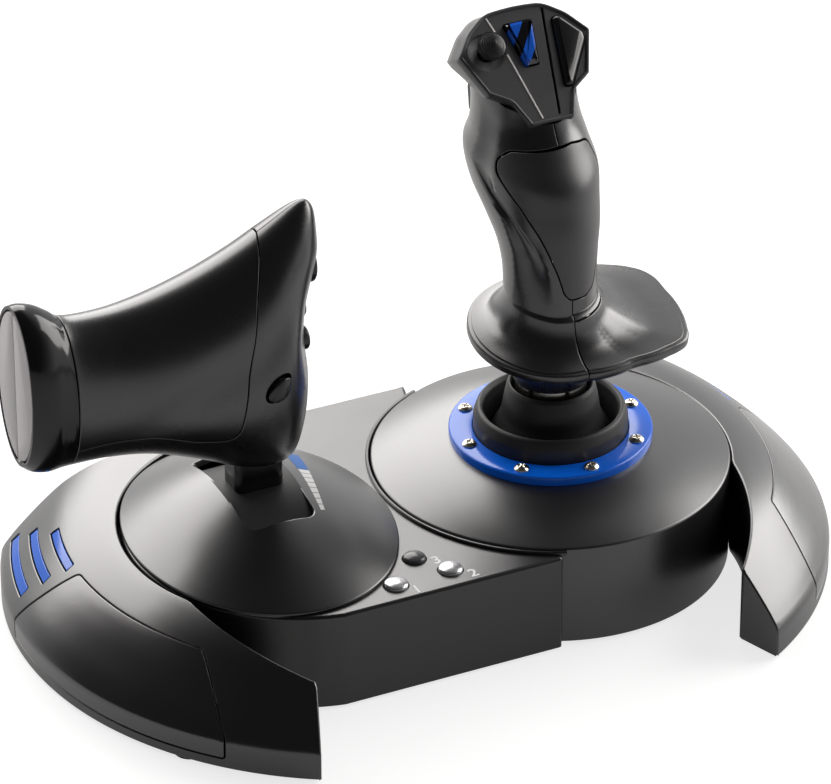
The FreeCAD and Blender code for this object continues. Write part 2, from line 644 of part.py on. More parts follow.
core, hollow = grip_core(), grip_core("grip_wall")
hollow_zone = box("grip_hollow_zone", ("-40", "-40", "93"), ("40", "80", "230"))
hollow_room = common("grip_hollow", [hollow, hollow_zone])
shaft_room = rod("grip_shaft_room", "shaft_radius + running_gap", "30", ("0", "0", "70"))
head_zone = doc.addObject("Part::Box", "head_zone")
bind(head_zone, Length="120", Width="220", Height="90")
place(head_zone, "-60", "-100 * cos(head_base_tilt * 1 deg)",
      "head_base_z - 100 * sin(head_base_tilt * 1 deg)", turn=((1, 0, 0), size("head_base_tilt")))
face_clear = face_pad("face_clear", grown(FACE, 0.15), "30", "-face_thickness")
palm_zone = padded("palm_zone", [(-18.5, 166), (-15.5, 169.6), (15.5, 169.6), (18.5, 166), (12, 141),
                                 (5.4, 120), (3, 116.4), (-3, 116.4), (-5.4, 120), (-12, 141)],
                   "60", ("0", "13", "0"), turn=((1, 0, 0), 90))
under_skin = grip_core("cover_skin")
palm_skin = cut("palm_skin", core, [under_skin])
palm_panel = node(common("palm_panel", [palm_skin, palm_zone]), "palm_panel")
trigger_pocket = box("trigger_pocket", ("-trigger_half_width - 0.7", "33", "155"),
                     ("trigger_half_width + 0.7", "75", "190"))
trigger_bore = rod("trigger_bore", "trigger_pin_radius + running_gap", "29.2",
                   ("-14.6", "trigger_y", "trigger_z"), "x")

FLANGE, WAIST, SPOKES = size("flange_radius"), 17.6, 48
REST = [(0, -31.3), (20, -30.6), (37.5, -28.2), (43.2, -26.0), (46.2, -21.5),
        (size("rest_reach"), 6.0), (49.2, 12.5), (46.6, 18.0), (41.5, 22.5), (33, 26.8),
        (18, 30.2), (0, 31.3)]
# height over the flange's plane and how far its rounded edge is set in
RIM_ROWS = [(-4.6, 1.8), (-4.2, 0.7), (-3.6, 0.15), (-2.8, 0), (-1.6, 0), (-0.8, 0.2), (-0.2, 0.8)]
# height and the share of the reach that is left as the flare closes in on the waist
FLARE_ROWS = [(0.1, 1), (0.5, 0.8), (1.1, 0.63), (2.0, 0.5), (3.2, 0.385), (4.8, 0.28),
              (6.6, 0.19), (8.8, 0.11), (11.4, 0.045), (14.5, 0)]
FLARE_START = 2.0


def rest_reach_at(angle):
    # how far the flange and hand rest reach in one direction
    if math.cos(angle) < 0.001:
        return FLANGE
    reaches = []
    for (x0, y0), (x1, y1) in zip(REST, REST[1:]):
        across = (x1 - x0) * math.sin(angle) - (y1 - y0) * math.cos(angle)
        along = (y0 * math.cos(angle) - x0 * math.sin(angle)) / across if across else -1
        if 0 <= along <= 1:
            reaches.append(math.hypot(x0 + (x1 - x0) * along, y0 + (y1 - y0) * along))
    return max(reaches)


def rest_shape():
    angles = [math.tau * step / SPOKES - math.pi / 2 for step in range(SPOKES)]
    reaches = [rest_reach_at(angle) for angle in angles]
    rows = [(z, [reach - inset for reach in reaches]) for z, inset in RIM_ROWS]
    rows += [(z, [WAIST + (reach - FLARE_START - WAIST) * share for reach in reaches])
             for z, share in FLARE_ROWS]
    wires = []
    for z, row in rows:
        curve = Part.BSplineCurve()
        curve.interpolate([V(r * math.cos(a), r * math.sin(a), z) for a, r in zip(angles, row)],
                          PeriodicFlag=True)
        wires.append(Part.Wire(curve.toShape()))
    return Part.makeLoft(wires, True, True)


rest_whole = feature("rest_whole", rest_shape(), ("0", "0", "flange_z"), TILT)
right_half = box("right_half", ("0", "-80", "60"), ("80", "90", "240"))
left_half = box("left_half", ("-80", "-80", "60"), ("0", "90", "240"))
node(cut("hand_rest", common("rest_right", [rest_whole, right_half]), [core]), "hand_rest")

BOSSES = [("4", "101"), ("8", "136"), ("22", "170")]
boss_rods = [rod("grip_boss_%d" % i, "boss_radius", "50", ("-25", y, z), "x")
             for i, (y, z) in enumerate(BOSSES)]
bosses = common("grip_bosses", [under_skin, group("grip_boss_group", boss_rods)])
grip_screws = [fuse("grip_screw_%d" % i, [
    rod("grip_screw_shank_%d" % i, "1.3", "17", ("-9", y, z), "x"),
    rod("grip_screw_head_%d" % i, "2.4", "2", ("-11", y, z), "x")])
    for i, (y, z) in enumerate(BOSSES)]
screw_group = node(group("grip_screws", grip_screws), "grip_screws")
screw_way = group("grip_screw_ways", [rod("grip_screw_way_%d" % i, "2.4", "30", ("-40", y, z), "x")
                                      for i, (y, z) in enumerate(BOSSES)])
wall_ring = cut("grip_wall_whole", core, [hollow_room, shaft_room])
grip_whole = fuse("grip_whole", [wall_ring, bosses])
teardrop_room = face_pad("teardrop_room", grown(TEARDROP, BUTTON_LIP + 0.3), "4.4", "-6.4")
openings = [head_zone, face_clear, teardrop_room, palm_panel, trigger_pocket, trigger_bore,
            screw_group, screw_way]
grip_open = cut("grip_open", grip_whole, openings)
node(common("grip_right_shell", [grip_open, right_half]), "grip_right_shell")
flare_ring = cut("flare_ring", rest_whole, [core])
left_flare = common("left_flare", [flare_ring, left_half])
node(fuse("grip_left_shell", [common("grip_left", [grip_open, left_half]), left_flare]),
     "grip_left_shell")

head_block = face_pad("head_block", FACE, "head_depth - face_thickness", "-head_depth")
head_room = face_pad("head_room", grown(FACE, -1.9), "head_depth", "-head_depth - 1")
node(common("head_housing", [cut("head_wall_whole", head_block, [head_room, teardrop_room]),
                             head_zone]), "head_housing")

plate = face_pad("face_plate", FACE, "face_thickness", "-face_thickness")
face_rim = cut("face_rim", face_pad("face_rim_outer", FACE, "face_rim_height", "0"),
               [face_pad("face_rim_inner", grown(FACE, -size("face_rim_width")), "4", "-1")])
LINE_TOP, LINE_FOOT, LINE_HALF = (11.0, -1.6), (3.3, -43.6), 0.3
face_lines = [face_pad("face_line_%d" % i, [
    (side * LINE_TOP[0] - LINE_HALF, LINE_TOP[1]), (side * LINE_TOP[0] + LINE_HALF, LINE_TOP[1]),
    (side * LINE_FOOT[0] + LINE_HALF, LINE_FOOT[1]), (side * LINE_FOOT[0] - LINE_HALF, LINE_FOOT[1])],
    "2", "-0.4") for i, side in enumerate((-1, 1))]
stripe_hole = face_pad("stripe_hole", grown(STRIPE, 0.35), "10", "-5")
teardrop_hole = face_pad("teardrop_hole", grown(TEARDROP, 0.35), "10", "-5")
hat_hole = face_rod("hat_hole", "3.4", "10", "hat_x", "-hat_down", "-5")
hat_recess = face_rod("hat_recess", "hat_recess_radius", "5", "hat_x", "-hat_down",
                      "-hat_recess_depth")
hat_ears = [face_box("hat_ear_%d" % i, ("hat_x + %g" % (side * 5 - 0.7), "-hat_down - 1.8", "-6.2"),
                     ("1.4", "3.6", "3.4")) for i, side in enumerate((-1, 1))]
hat_bore = face_rod("hat_pivot_bore", "hat_pin_radius + running_gap", "12", "hat_x - 6", "-hat_down",
                    "-hat_pivot_depth", along="x")
board_studs = [face_rod("board_stud_%d" % i, "1.4", "board_depth - board_thickness - 2.9", x, y,
                        "-board_depth + board_thickness")
               for i, (x, y) in enumerate(((-12, -25.5), (9.4, -10), (-9, -8.5), (5.5, -27.5)))]
node(cut("head_faceplate", fuse("face_plate_whole", [plate, face_rim] + hat_ears + board_studs),
         face_lines + [stripe_hole, teardrop_hole, hat_hole, hat_recess, hat_bore]), "head_faceplate")


def bevel(name, points, inset, low, high):
    # a button's top narrows from its outline to one set inward
    wires = [Part.makePolygon([V(x, y, z) for x, y in outline + outline[:1]])
             for outline, z in ((points, low), (grown(points, -inset), high))]
    return feature(name, Part.makeLoft(wires, True, True), on_face("0", "0", "0"), FACE_TURN)


node(fuse("stripe_button", [face_pad("stripe_cap", STRIPE, "4.8", "-3.8"),
                            bevel("stripe_bevel", STRIPE, 0.9, 1.0, 2.2),
                            face_pad("stripe_foot", grown(STRIPE, 1.2), "1", "-4.6")]), "stripe_button")
node(fuse("teardrop_button", [face_pad("teardrop_cap", TEARDROP, "4.4", "-3.8"),
                              bevel("teardrop_bevel", TEARDROP, 0.9, 0.6, 1.4),
                              face_pad("teardrop_foot", grown(TEARDROP, BUTTON_LIP), "1", "-4.6")]),
     "teardrop_button")
hat_ring = cut("hat_ring_band", face_rod("hat_ring_outer", "3.9", "2", "hat_x", "-hat_down",
                                         "-hat_pivot_depth - 1"),
               [face_rod("hat_ring_inner", "2.6", "2", "hat_x", "-hat_down", "-hat_pivot_depth - 1")])
hat_ring_pins = [face_rod("hat_ring_pin_%d" % i, "hat_pin_radius", "1.9", "hat_x + %s" % start,
                          "-hat_down", "-hat_pivot_depth", along="x")
                 for i, start in enumerate(("3.7", "(-5.6)"))]
hat_cross_bore = face_rod("hat_cross_bore", "hat_pin_radius + running_gap", "10", "hat_x",
                          "-hat_down - 5", "-hat_pivot_depth", along="y")
node(cut("hat_ring", fuse("hat_ring_whole", [hat_ring] + hat_ring_pins), [hat_cross_bore]),
     "hat_ring")
hat_button = turned("hat_button", [
    ("0", "-6.4"), ("1.7", "-6.4"), ("1.7", "0.8"), ("hat_radius", "0.8"), ("hat_radius", "1.9"),
    ("4.9", "2.4"), ("4.6", "4.2"), ("3.7", "4.7"), ("3.2", "4.2"), ("2.2", "4.2"), ("1.7", "4.6"),
    ("0", "4.6")], on_face("hat_x", "-hat_down", "0"), FACE_TURN)
node(fuse("hat_cap", [hat_button, face_rod("hat_cross_pin", "hat_pin_radius", "7.4", "hat_x",
                                           "-hat_down - 3.7", "-hat_pivot_depth", along="y")]),
     "hat_cap")
node(face_box("grip_board", ("-14", "-28.5", "-board_depth"), ("28", "21", "board_thickness")),
     "grip_board")

TRIGGER = [(35.8, 182), (38, 184.4), (47, 186.4), (52.6, 185), (56.6, 178.5), (58.4, 169),
           (57.2, 160.8), (54, 158.8), (52.4, 163), (51.6, 171), (48.4, 177), (38, 179.6)]
trigger_blade = padded("trigger_blade", TRIGGER, "2 * trigger_half_width",
                       ("-trigger_half_width", "0", "0"), turn=((1, 1, 1), 120))
node(fuse("trigger", [trigger_blade, rod("trigger_pin", "trigger_pin_radius", "28.8",
                                         ("-14.4", "trigger_y", "trigger_z"), "x")]), "trigger")

# ---------------------------------------------------------------- dome, lever and handle

DOME_SHARES = [1.0, 0.9, 0.79, 0.67, 0.55, 0.43, 0.31, 0.19, 0.08]
DOME_RISE, DOME_LEAN = 20.5, 7


def dome_loft(name, inset):
    # the dome rises to its crown along a softened cone, and its crown sits a little back
    lip = ellipse(name + "_lip", "dome_half_y - %s" % inset, "dome_half_x - %s" % inset,
                  ("dome_x", "0", "panel_z - %s" % inset), "z")
    rising = []
    for index, share in enumerate(DOME_SHARES):
        rise = DOME_RISE * (1 - share ** 1.45)
        rising.append(ellipse("%s_%d" % (name, index), "(dome_half_y - %s) * %g" % (inset, share),
                              "(dome_half_x - %s) * %g" % (inset, share),
                              ("dome_x", "%g" % (DOME_LEAN * (1 - share)),
                               "dome_rim_z + %g - %s" % (rise, inset)), "z"))
    return fuse(name, [loft(name + "_band", [lip, rising[0]], ruled=True),
                       loft(name + "_crown", rising)])


slot = box("dome_slot", ("dome_x - slot_half_x", "slot_front_y", "30"),
           ("dome_x + slot_half_x", "slot_back_y", "80"))
dome_shell = cut("dome_shell", dome_loft("dome_outer", "0"), [dome_loft("dome_inner", "dome_wall")])
node(cut("dome_cover", dome_shell, [slot]), "dome_cover")

handle_outer = loft("handle_outer", stations("handle", HANDLE, "x", "", handle_names))
handle_inner = loft("handle_inner", stations("handle", HANDLE, "x", "handle_wall", handle_names))
handle_skin = loft("handle_skin", stations("handle", HANDLE, "x", "cover_skin", handle_names))
arm_bar = box("arm_bar", ("dome_x - arm_half_x", "axle_y - arm_half_y", "axle_z"),
              ("dome_x + arm_half_x", "axle_y + arm_half_y", "arm_top_z"))
hub = rod("arm_hub", "hub_radius", "28", ("-133", "axle_y", "axle_z"), "x")
axle = node(rod("throttle_axle", "axle_radius", "50", ("-142", "axle_y", "axle_z"), "x"),
            "throttle_axle")
node(cut("throttle_arm", fuse("arm_whole", [arm_bar, hub]), [axle]), "throttle_arm")
shutter_ring = tube("shutter_ring", "shutter_radius", "shutter_radius - 1.6", "26",
                    ("-132", "axle_y", "axle_z"), "x")
shutter_zone = box("shutter_zone", ("-140", "-60", "31"), ("-100", "70", "80"))
node(cut("slot_shutter", common("shutter_arc", [shutter_ring, shutter_zone]), [arm_bar]),
     "slot_shutter")

bearing = fuse("bearing_whole", [
    box("bearing_base", ("-139", "-10", "3.2"), ("-99", "18", "5.2")),
    box("bearing_left", ("-139", "-10", "5.2"), ("-134", "18", "22")),
    box("bearing_right", ("-104", "-10", "5.2"), ("-99", "18", "22"))])
axle_way = rod("axle_way", "axle_radius + running_gap", "60", ("-150", "axle_y", "axle_z"), "x")
node(cut("bearing_frame", bearing, [axle_way]), "bearing_frame")
node(tube("friction_washer", "8", "axle_radius + running_gap", "1", ("-105", "axle_y", "axle_z"), "x"),
     "friction_washer")
node(cut("throttle_sensor", box("sensor_case", ("-99", "-5", "5"), ("-93", "13", "23")), [axle_way]),
     "throttle_sensor")

near = box("near_side", ("-200", "-60", "40"), ("-80", "0", "220"))
far = box("far_side", ("-200", "0", "40"), ("-80", "60", "220"))
left_of_seam = box("left_of_seam", ("-230", "-60", "40"), ("end_seam_x", "60", "220"))
right_of_seam = box("right_of_seam", ("end_seam_x", "-60", "40"), ("-80", "60", "220"))
handle_room = common("handle_room", [handle_inner, box("handle_room_zone", ("-230", "-60", "40"),
                                                       ("thumb_end_x - handle_wall", "60", "220"))])
hollow_handle = cut("handle_wall_whole", handle_outer, [handle_room])
panel_zone = padded("handle_panel_zone", [
    ("end_seam_x", 101), (-171, 95.5), (-142, 91), (-133, 93.5), (-128.5, 104), (-125.5, 118),
    (-122.5, 136), (-120, 180), ("end_seam_x", 180)], "40", ("0", "0", "0"), turn=((1, 0, 0), 90))
panel_skin = cut("handle_panel_skin", handle_outer, [handle_skin])
rear_panel = node(common("handle_rear_panel", [panel_skin, panel_zone]), "handle_rear_panel")
HANDLE_BOSSES = [("-184", "112"), ("-148", "95"), ("-111", "148")]
handle_boss_rods = [rod("handle_boss_%d" % i, "boss_radius", "60", (x, "-30", z), "y")
                    for i, (x, z) in enumerate(HANDLE_BOSSES)]
rocker_ears = [box("rocker_ear_%d" % i, ("rocker_x - 4", "10", low), ("rocker_x + 4", "19", high))
               for i, (low, high) in enumerate((("101.5", "104.5"), ("127.5", "130.5")))]
handle_bosses = common("handle_bosses", [
    handle_skin, group("handle_boss_group", handle_boss_rods + rocker_ears)])
handle_screws = [fuse("handle_screw_%d" % i, [
    rod("handle_screw_shank_%d" % i, "1.3", "16", (x, "-6", z), "y"),
    rod("handle_screw_head_%d" % i, "2.4", "2", (x, "10", z), "y")])
    for i, (x, z) in enumerate(HANDLE_BOSSES)]
handle_screw_group = node(group("handle_screws", handle_screws), "handle_screws")
handle_screw_way = group("handle_screw_ways", [
    rod("handle_screw_way_%d" % i, "2.4", "30", (x, "12", z), "y")
    for i, (x, z) in enumerate(HANDLE_BOSSES)])
THUMB = {"thumb_button_upper": ("-1", "147", "5.4"), "thumb_button_middle": ("-1", "130.5", "3.8"),
         "thumb_button_lower": ("-2", "118", "4.6")}
thumb_ways = [rod(label + "_way", r + " + button_gap", "30", ("-106", y, z), "x")
              for label, (y, z, r) in THUMB.items()]
SIDE_BUTTON = ("-113.4", "103.5")
side_way = rod("side_button_way", "4.8 + button_gap", "30", (SIDE_BUTTON[0], "-35", SIDE_BUTTON[1]),
               "y")
rocker_way = box("rocker_way", ("rocker_x - 16.5", "9", "104.5"), ("rocker_x + 16.5", "30", "127.5"))
rocker_bore = rod("rocker_bore", "rocker_pin_radius + running_gap", "30",
                  ("rocker_x", "rocker_y", "101"))
handle_ways = [arm_bar, rear_panel, handle_screw_group, handle_screw_way, side_way,
               rocker_way, rocker_bore] + thumb_ways
handle_whole = cut("handle_open", fuse("handle_whole", [hollow_handle, handle_bosses]), handle_ways)
handle_main = common("handle_main", [handle_whole, right_of_seam])
node(common("handle_rear_shell", [handle_main, near]), "handle_rear_shell")
node(common("handle_front_shell", [handle_main, far]), "handle_front_shell")

disc_hole = loft("disc_hole", [ellipse("disc_hole_%d" % i, "30.4", "13.3", (x, "0", "124.7"), "x")
                               for i, x in enumerate(("-216", "-209"))])
node(cut("handle_end_ring", common("end_ring_whole", [hollow_handle, left_of_seam]), [disc_hole]),
     "handle_end_ring")
disc_plate = loft("disc_plate", [ellipse("disc_plate_%d" % i, "30.3", "13.2", (x, "0", "124.7"), "x")
                                 for i, x in enumerate(("-212", "-209.6"))])
disc_near = box("disc_near", ("-220", "-30", "60"), ("-200", "-0.15", "190"))
disc_far = box("disc_far", ("-220", "0.15", "60"), ("-200", "30", "190"))
node(group("handle_end_disc", [common("disc_half_near", [disc_plate, disc_near]),
                               common("disc_half_far", [disc_plate, disc_far])]), "handle_end_disc")

BEHIND_WALL = "thumb_end_x - handle_wall"
for label, (y, z, r) in THUMB.items():
    node(fuse(label, [rod(label + "_cap", r, "6", (BEHIND_WALL, y, z), "x"),
                      rod(label + "_foot", r + " + 0.6", "1.2", (BEHIND_WALL + " - 1.2", y, z), "x")]),
         label)
switches = [rod(label + "_switch", "2.4", "4", ("switch_board_x + board_thickness", y, z), "x")
            for label, (y, z, _) in THUMB.items()]
side_switch = rod("side_switch", "3", "9", (SIDE_BUTTON[0], "-12.8", SIDE_BUTTON[1]), "y")
board_plate = box("handle_board_plate", ("switch_board_x", "-7", "99"),
                  ("switch_board_x + board_thickness", "7", "154"))
side_plate = box("handle_side_plate", ("-121", "-3.8", "97"), ("switch_board_x", "-2.2", "110"))
node(fuse("handle_board", [board_plate, side_plate, side_switch] + switches), "handle_board")
node(rod("side_button", "4.8", "8", (SIDE_BUTTON[0], "-22.4", SIDE_BUTTON[1]), "y"), "side_button")
ROCKER = [(-14, 12), (14, 12), (14, 20), (10.5, 24.4), (4, 22.4), (-4, 22.4), (-10.5, 24.4),
          (-14, 20)]
rocker_paddle = padded("rocker_paddle", [("rocker_x + (%g)" % x, y) for x, y in ROCKER], "20",
                       ("0", "0", "106"))
node(fuse("rocker", [rocker_paddle, rod("rocker_pin", "rocker_pin_radius", "28",
                                        ("rocker_x", "rocker_y", "102"))]), "rocker")

# ---------------------------------------------------------------- build, check and write

doc.recompute()
failed = [obj.Name for obj in doc.Objects if "Invalid" in obj.State or "Error" in obj.State]
if failed:
    raise SystemExit("failed: " + ", ".join(failed))
whole = FreeCAD.BoundBox()
for label, obj in NODES.items():
    shape = obj.Shape
    if shape.isNull() or not shape.isValid() or not shape.Solids:
        raise SystemExit(label + " has no valid solid")
    whole.add(shape.optimalBoundingBox(False))

os.makedirs("parts", exist_ok=True)
for label, obj in NODES.items():
    obj.Shape.exportStep(os.path.join("parts", label + ".step"))
print("%d nodes, box x %.2f %.2f  y %.2f %.2f  z %.2f %.2f" % (
    len(NODES), whole.XMin, whole.XMax, whole.YMin, whole.YMax, whole.ZMin, whole.ZMax))
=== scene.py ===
import json
import math

import bmesh
import bpy
import numpy as np
from mathutils import Matrix, Vector
from mathutils.geometry import delaunay_2d_cdt


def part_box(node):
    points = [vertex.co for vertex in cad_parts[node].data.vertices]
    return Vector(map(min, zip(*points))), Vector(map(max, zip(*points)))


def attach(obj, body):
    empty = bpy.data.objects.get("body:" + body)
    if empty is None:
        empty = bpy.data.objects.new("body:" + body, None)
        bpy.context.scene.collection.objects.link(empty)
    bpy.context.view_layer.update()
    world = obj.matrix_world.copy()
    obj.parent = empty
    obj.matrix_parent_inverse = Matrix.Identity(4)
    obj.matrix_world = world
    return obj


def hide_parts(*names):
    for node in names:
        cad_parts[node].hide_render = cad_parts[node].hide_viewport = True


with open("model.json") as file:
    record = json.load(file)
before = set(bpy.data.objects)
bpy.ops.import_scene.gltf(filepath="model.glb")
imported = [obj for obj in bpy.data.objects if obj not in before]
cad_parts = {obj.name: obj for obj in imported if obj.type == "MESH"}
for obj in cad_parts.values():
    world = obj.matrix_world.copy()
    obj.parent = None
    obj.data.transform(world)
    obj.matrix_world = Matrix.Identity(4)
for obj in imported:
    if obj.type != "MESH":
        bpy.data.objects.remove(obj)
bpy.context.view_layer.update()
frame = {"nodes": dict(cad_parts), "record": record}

# ---------------------------------------------------------------- camera
# A long lens from the front left, 31 degrees above the desk.


def placed(name, data):
    # a new object in the scene
    made = bpy.data.objects.new(name, data)
    bpy.context.scene.collection.objects.link(made)
    return made


camera = placed("camera", bpy.data.cameras.new("camera"))
camera.data.lens = 253.3
camera.data.sensor_width = 36
camera.data.clip_end = 20
camera.matrix_world = Matrix((
    (0.9025, 0.2221, -0.3689, -0.7914),
    (-0.4306, 0.4651, -0.7734, -1.6366),
    (-0.0002, 0.8569, 0.5154, 1.1840),
    (0, 0, 0, 1)))
bpy.context.scene.camera = camera
bpy.context.scene.view_settings.view_transform = "Standard"

# ---------------------------------------------------------------- light and floor
# A white tent, dark overhead and to the left; soft boxes behind and right give the highlights.
# The tent and the floor are white to the eye and in reflections, and light the object gently.


def node_in(tree, kind, operation=None, inputs=None, **settings):
    # a new node with its settings; each input is a plain value, a socket that feeds it, or a
    # node whose first output does
    made = tree.nodes.new(kind)
    if operation:
        made.operation = operation
    for key, value in settings.items():
        setattr(made, key, value)
    for key, value in (inputs or {}).items():
        if isinstance(value, bpy.types.Node):
            value = value.outputs[0]
        if isinstance(value, bpy.types.NodeSocket):
            tree.links.new(value, made.inputs[key])
        else:
            made.inputs[key].default_value = value
    return made


def new_finish(name, **plain):
    # a material with plain values on its shader's own sockets
    made = bpy.data.materials.new(name)
    made.use_nodes = True
    shader = made.node_tree.nodes["Principled BSDF"]
    for key, value in plain.items():
        shader.inputs[key.replace("_", " ")].default_value = value
    return made, made.node_tree, shader


def seen_rays(tree):
    # 1 for rays from the eye, from a reflection or through glass
    path = node_in(tree, "ShaderNodeLightPath")
    total = path.outputs["Is Camera Ray"]
    for ray in ("Is Glossy Ray", "Is Transmission Ray"):
        most = node_in(tree, "ShaderNodeMath", "MAXIMUM", {0: total, 1: path.outputs[ray]})
        total = most.outputs["Value"]
    return total, path


OPEN_SIDE, OPEN_START, OPEN_END = (-0.55, -0.45, 0.70), -0.12, 0.42
TENT_BRIGHT, TENT_OPEN, TENT_LIGHT = 0.85, 0.04, 0.16
world = bpy.data.worlds.new("tent")
bpy.context.scene.world = world
world.use_nodes = True
tent = world.node_tree
tent.nodes.clear()
visible, path = seen_rays(tent)
where = node_in(tent, "ShaderNodeTexCoord")
toward = node_in(tent, "ShaderNodeVectorMath", "DOT_PRODUCT", {0: where.outputs["Generated"],
                                                               1: OPEN_SIDE})
fall = node_in(tent, "ShaderNodeMapRange", interpolation_type="SMOOTHSTEP",
               inputs={"Value": toward.outputs["Value"], "From Min": OPEN_START,
                       "From Max": OPEN_END, "To Min": TENT_BRIGHT, "To Max": TENT_OPEN})
to_eye = node_in(tent, "ShaderNodeMath", "MAXIMUM", {0: path.outputs["Is Camera Ray"], 1: fall})
seen = node_in(tent, "ShaderNodeBackground", inputs={"Color": (1, 1, 1, 1), "Strength": to_eye})
dim = node_in(tent, "ShaderNodeBackground", inputs={"Color": (1, 0.96, 1, 1),
                                                    "Strength": TENT_LIGHT})
pick = node_in(tent, "ShaderNodeMixShader", inputs={"Fac": visible, 1: dim, 2: seen})
node_in(tent, "ShaderNodeOutputWorld", inputs={"Surface": pick})


def soft_box(name, at, width, height, watts, aim=(0, 0, 0.08)):
    light = placed(name, bpy.data.lights.new(name, "AREA"))
    light.data.shape = "RECTANGLE"
    light.data.size, light.data.size_y = width, height
    light.data.energy = watts
    light.data.color = (1, 0.975, 0.95)
    light.location = at
    light.rotation_mode = "QUATERNION"
    light.rotation_quaternion = (Vector(aim) - Vector(at)).to_track_quat("-Z", "Y")


soft_box("back_box", (-0.13, 0.96, 0.76), 1.5, 0.92, 18.5)
soft_box("right_box", (1.05, 0.02, 0.62), 0.95, 0.9, 13)

FLOOR_REACH, PAPER_GLOW, PAPER_TO_EYE = 6, 0.25, 0.5
floor_mesh = bpy.data.meshes.new("floor")
floor_mesh.from_pydata([(x * FLOOR_REACH, y * FLOOR_REACH, 0)
                        for x, y in ((-1, -1), (1, -1), (1, 1), (-1, 1))], [], [(0, 1, 2, 3)])
placed("floor", floor_mesh)
paper, tree, shader = new_finish("paper", Base_Color=(0.42, 0.42, 0.42, 1), Roughness=0.9,
                                 Specular_IOR_Level=0.1, Emission_Color=(1, 1, 1, 1))
visible, path = seen_rays(tree)
glow = node_in(tree, "ShaderNodeMath", "MULTIPLY", {0: visible, 1: PAPER_GLOW})
to_camera = node_in(tree, "ShaderNodeMath", "MULTIPLY_ADD", {0: path.outputs["Is Camera Ray"],
                                                             1: PAPER_TO_EYE, 2: glow})
tree.links.new(to_camera.outputs["Value"], shader.inputs["Emission Strength"])
floor_mesh.materials.append(paper)

# ---------------------------------------------------------------- stick unit's body
# A shallow cone of satin plastic rising from a rounded rim to the ring's seat, over a plain
# upright wall.  Its finish, a fine moulded grain, is shared by the other case mouldings.

ring_low, ring_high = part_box("pivot_ring")
STICK = np.array(((ring_low.x + ring_high.x) / 2, (ring_low.y + ring_high.y) / 2, 0))


def metres(points):
    # millimetres from the stick's axis at desk level, as metres in the row frame
    return np.asarray(points, float) * 0.001 + STICK


def columns(*parts):
    # points from a list for each coordinate; a plain number serves for all of them
    return np.column_stack(np.broadcast_arrays(*parts))


def rounded(path, closed=False, step=0.3):
    # (x, y) or (x, y, radius) corners; a corner with a radius becomes an arc
    line = []
    count = len(path)
    for i, (x, y, *radius) in enumerate(path):
        corner = np.array((x, y), float)
        if not radius or (not closed and i in (0, count - 1)):
            line.append(corner)
            continue
        back = np.array(path[i - 1][:2]) - corner
        ahead = np.array(path[(i + 1) % count][:2]) - corner
        back_length, ahead_length = np.linalg.norm(back), np.linalg.norm(ahead)
        back, ahead = back / back_length, ahead / ahead_length
        half = math.acos(np.clip(back @ ahead, -1, 1)) / 2
        cut = min(radius[0] / math.tan(half), back_length * 0.49, ahead_length * 0.49)
        radius = cut * math.tan(half)
        centre = corner + (back + ahead) / np.linalg.norm(back + ahead) * radius / math.sin(half)
        start, end = corner + back * cut - centre, corner + ahead * cut - centre
        swing = math.pi - 2 * half
        parts = max(2, math.ceil(swing / step))
        for k in range(parts + 1):
            share = k / parts
            line.append(centre + (math.sin((1 - share) * swing) * start
                                  + math.sin(share * swing) * end) / math.sin(swing))
    return np.array(line)


def block(left, low, right, high, radius, step=0.3):
    # a rounded rectangle; the radius is one for all corners or one for each, from the low left
    corners = ((left, low), (right, low), (right, high), (left, high))
    return rounded([(x, y, r) for (x, y), r in zip(corners, np.broadcast_to(radius, 4))],
                   closed=True, step=step)


def rows(rings, wrap=True, first=False, last=False, normals=None):
    # one surface through rows of points; first and last close its end rows with a face
    rings = np.asarray(rings, float)
    height, width = rings.shape[:2]
    faces = []
    for r in range(height - 1):
        for c in range(width if wrap else width - 1):
            d = (c + 1) % width
            faces.append((r * width + c, r * width + d, (r + 1) * width + d, (r + 1) * width + c))
    if first:
        faces.append(tuple(reversed(range(width))))
    if last:
        faces.append(tuple(range((height - 1) * width, height * width)))
    flat = None if normals is None else np.asarray(normals).reshape(-1, 3)
    return rings.reshape(-1, 3), faces, flat


def turned(path, centre=(0, 0), segments=144, first=False, last=False):
    # (radius, height) points turned about an upright axis
    angle = np.linspace(0, math.tau, segments, endpoint=False)
    circle = np.stack((np.cos(angle), np.sin(angle)), 1)
    rings = [np.column_stack((circle * r + np.array(centre), np.full(segments, z)))
             for r, z in path]
    return rows(rings, first=first, last=last)


def outward(points, faces):
    # the same faces, wound so that they face away from the form they close
    work = bmesh.new()
    corners = [work.verts.new(tuple(point)) for point in points]
    for face in faces:
        work.faces.new([corners[i] for i in face])
    work.verts.index_update()
    bmesh.ops.recalc_face_normals(work, faces=work.faces)
    wound = [tuple(corner.index for corner in face.verts) for face in work.faces]
    work.free()
    return wound


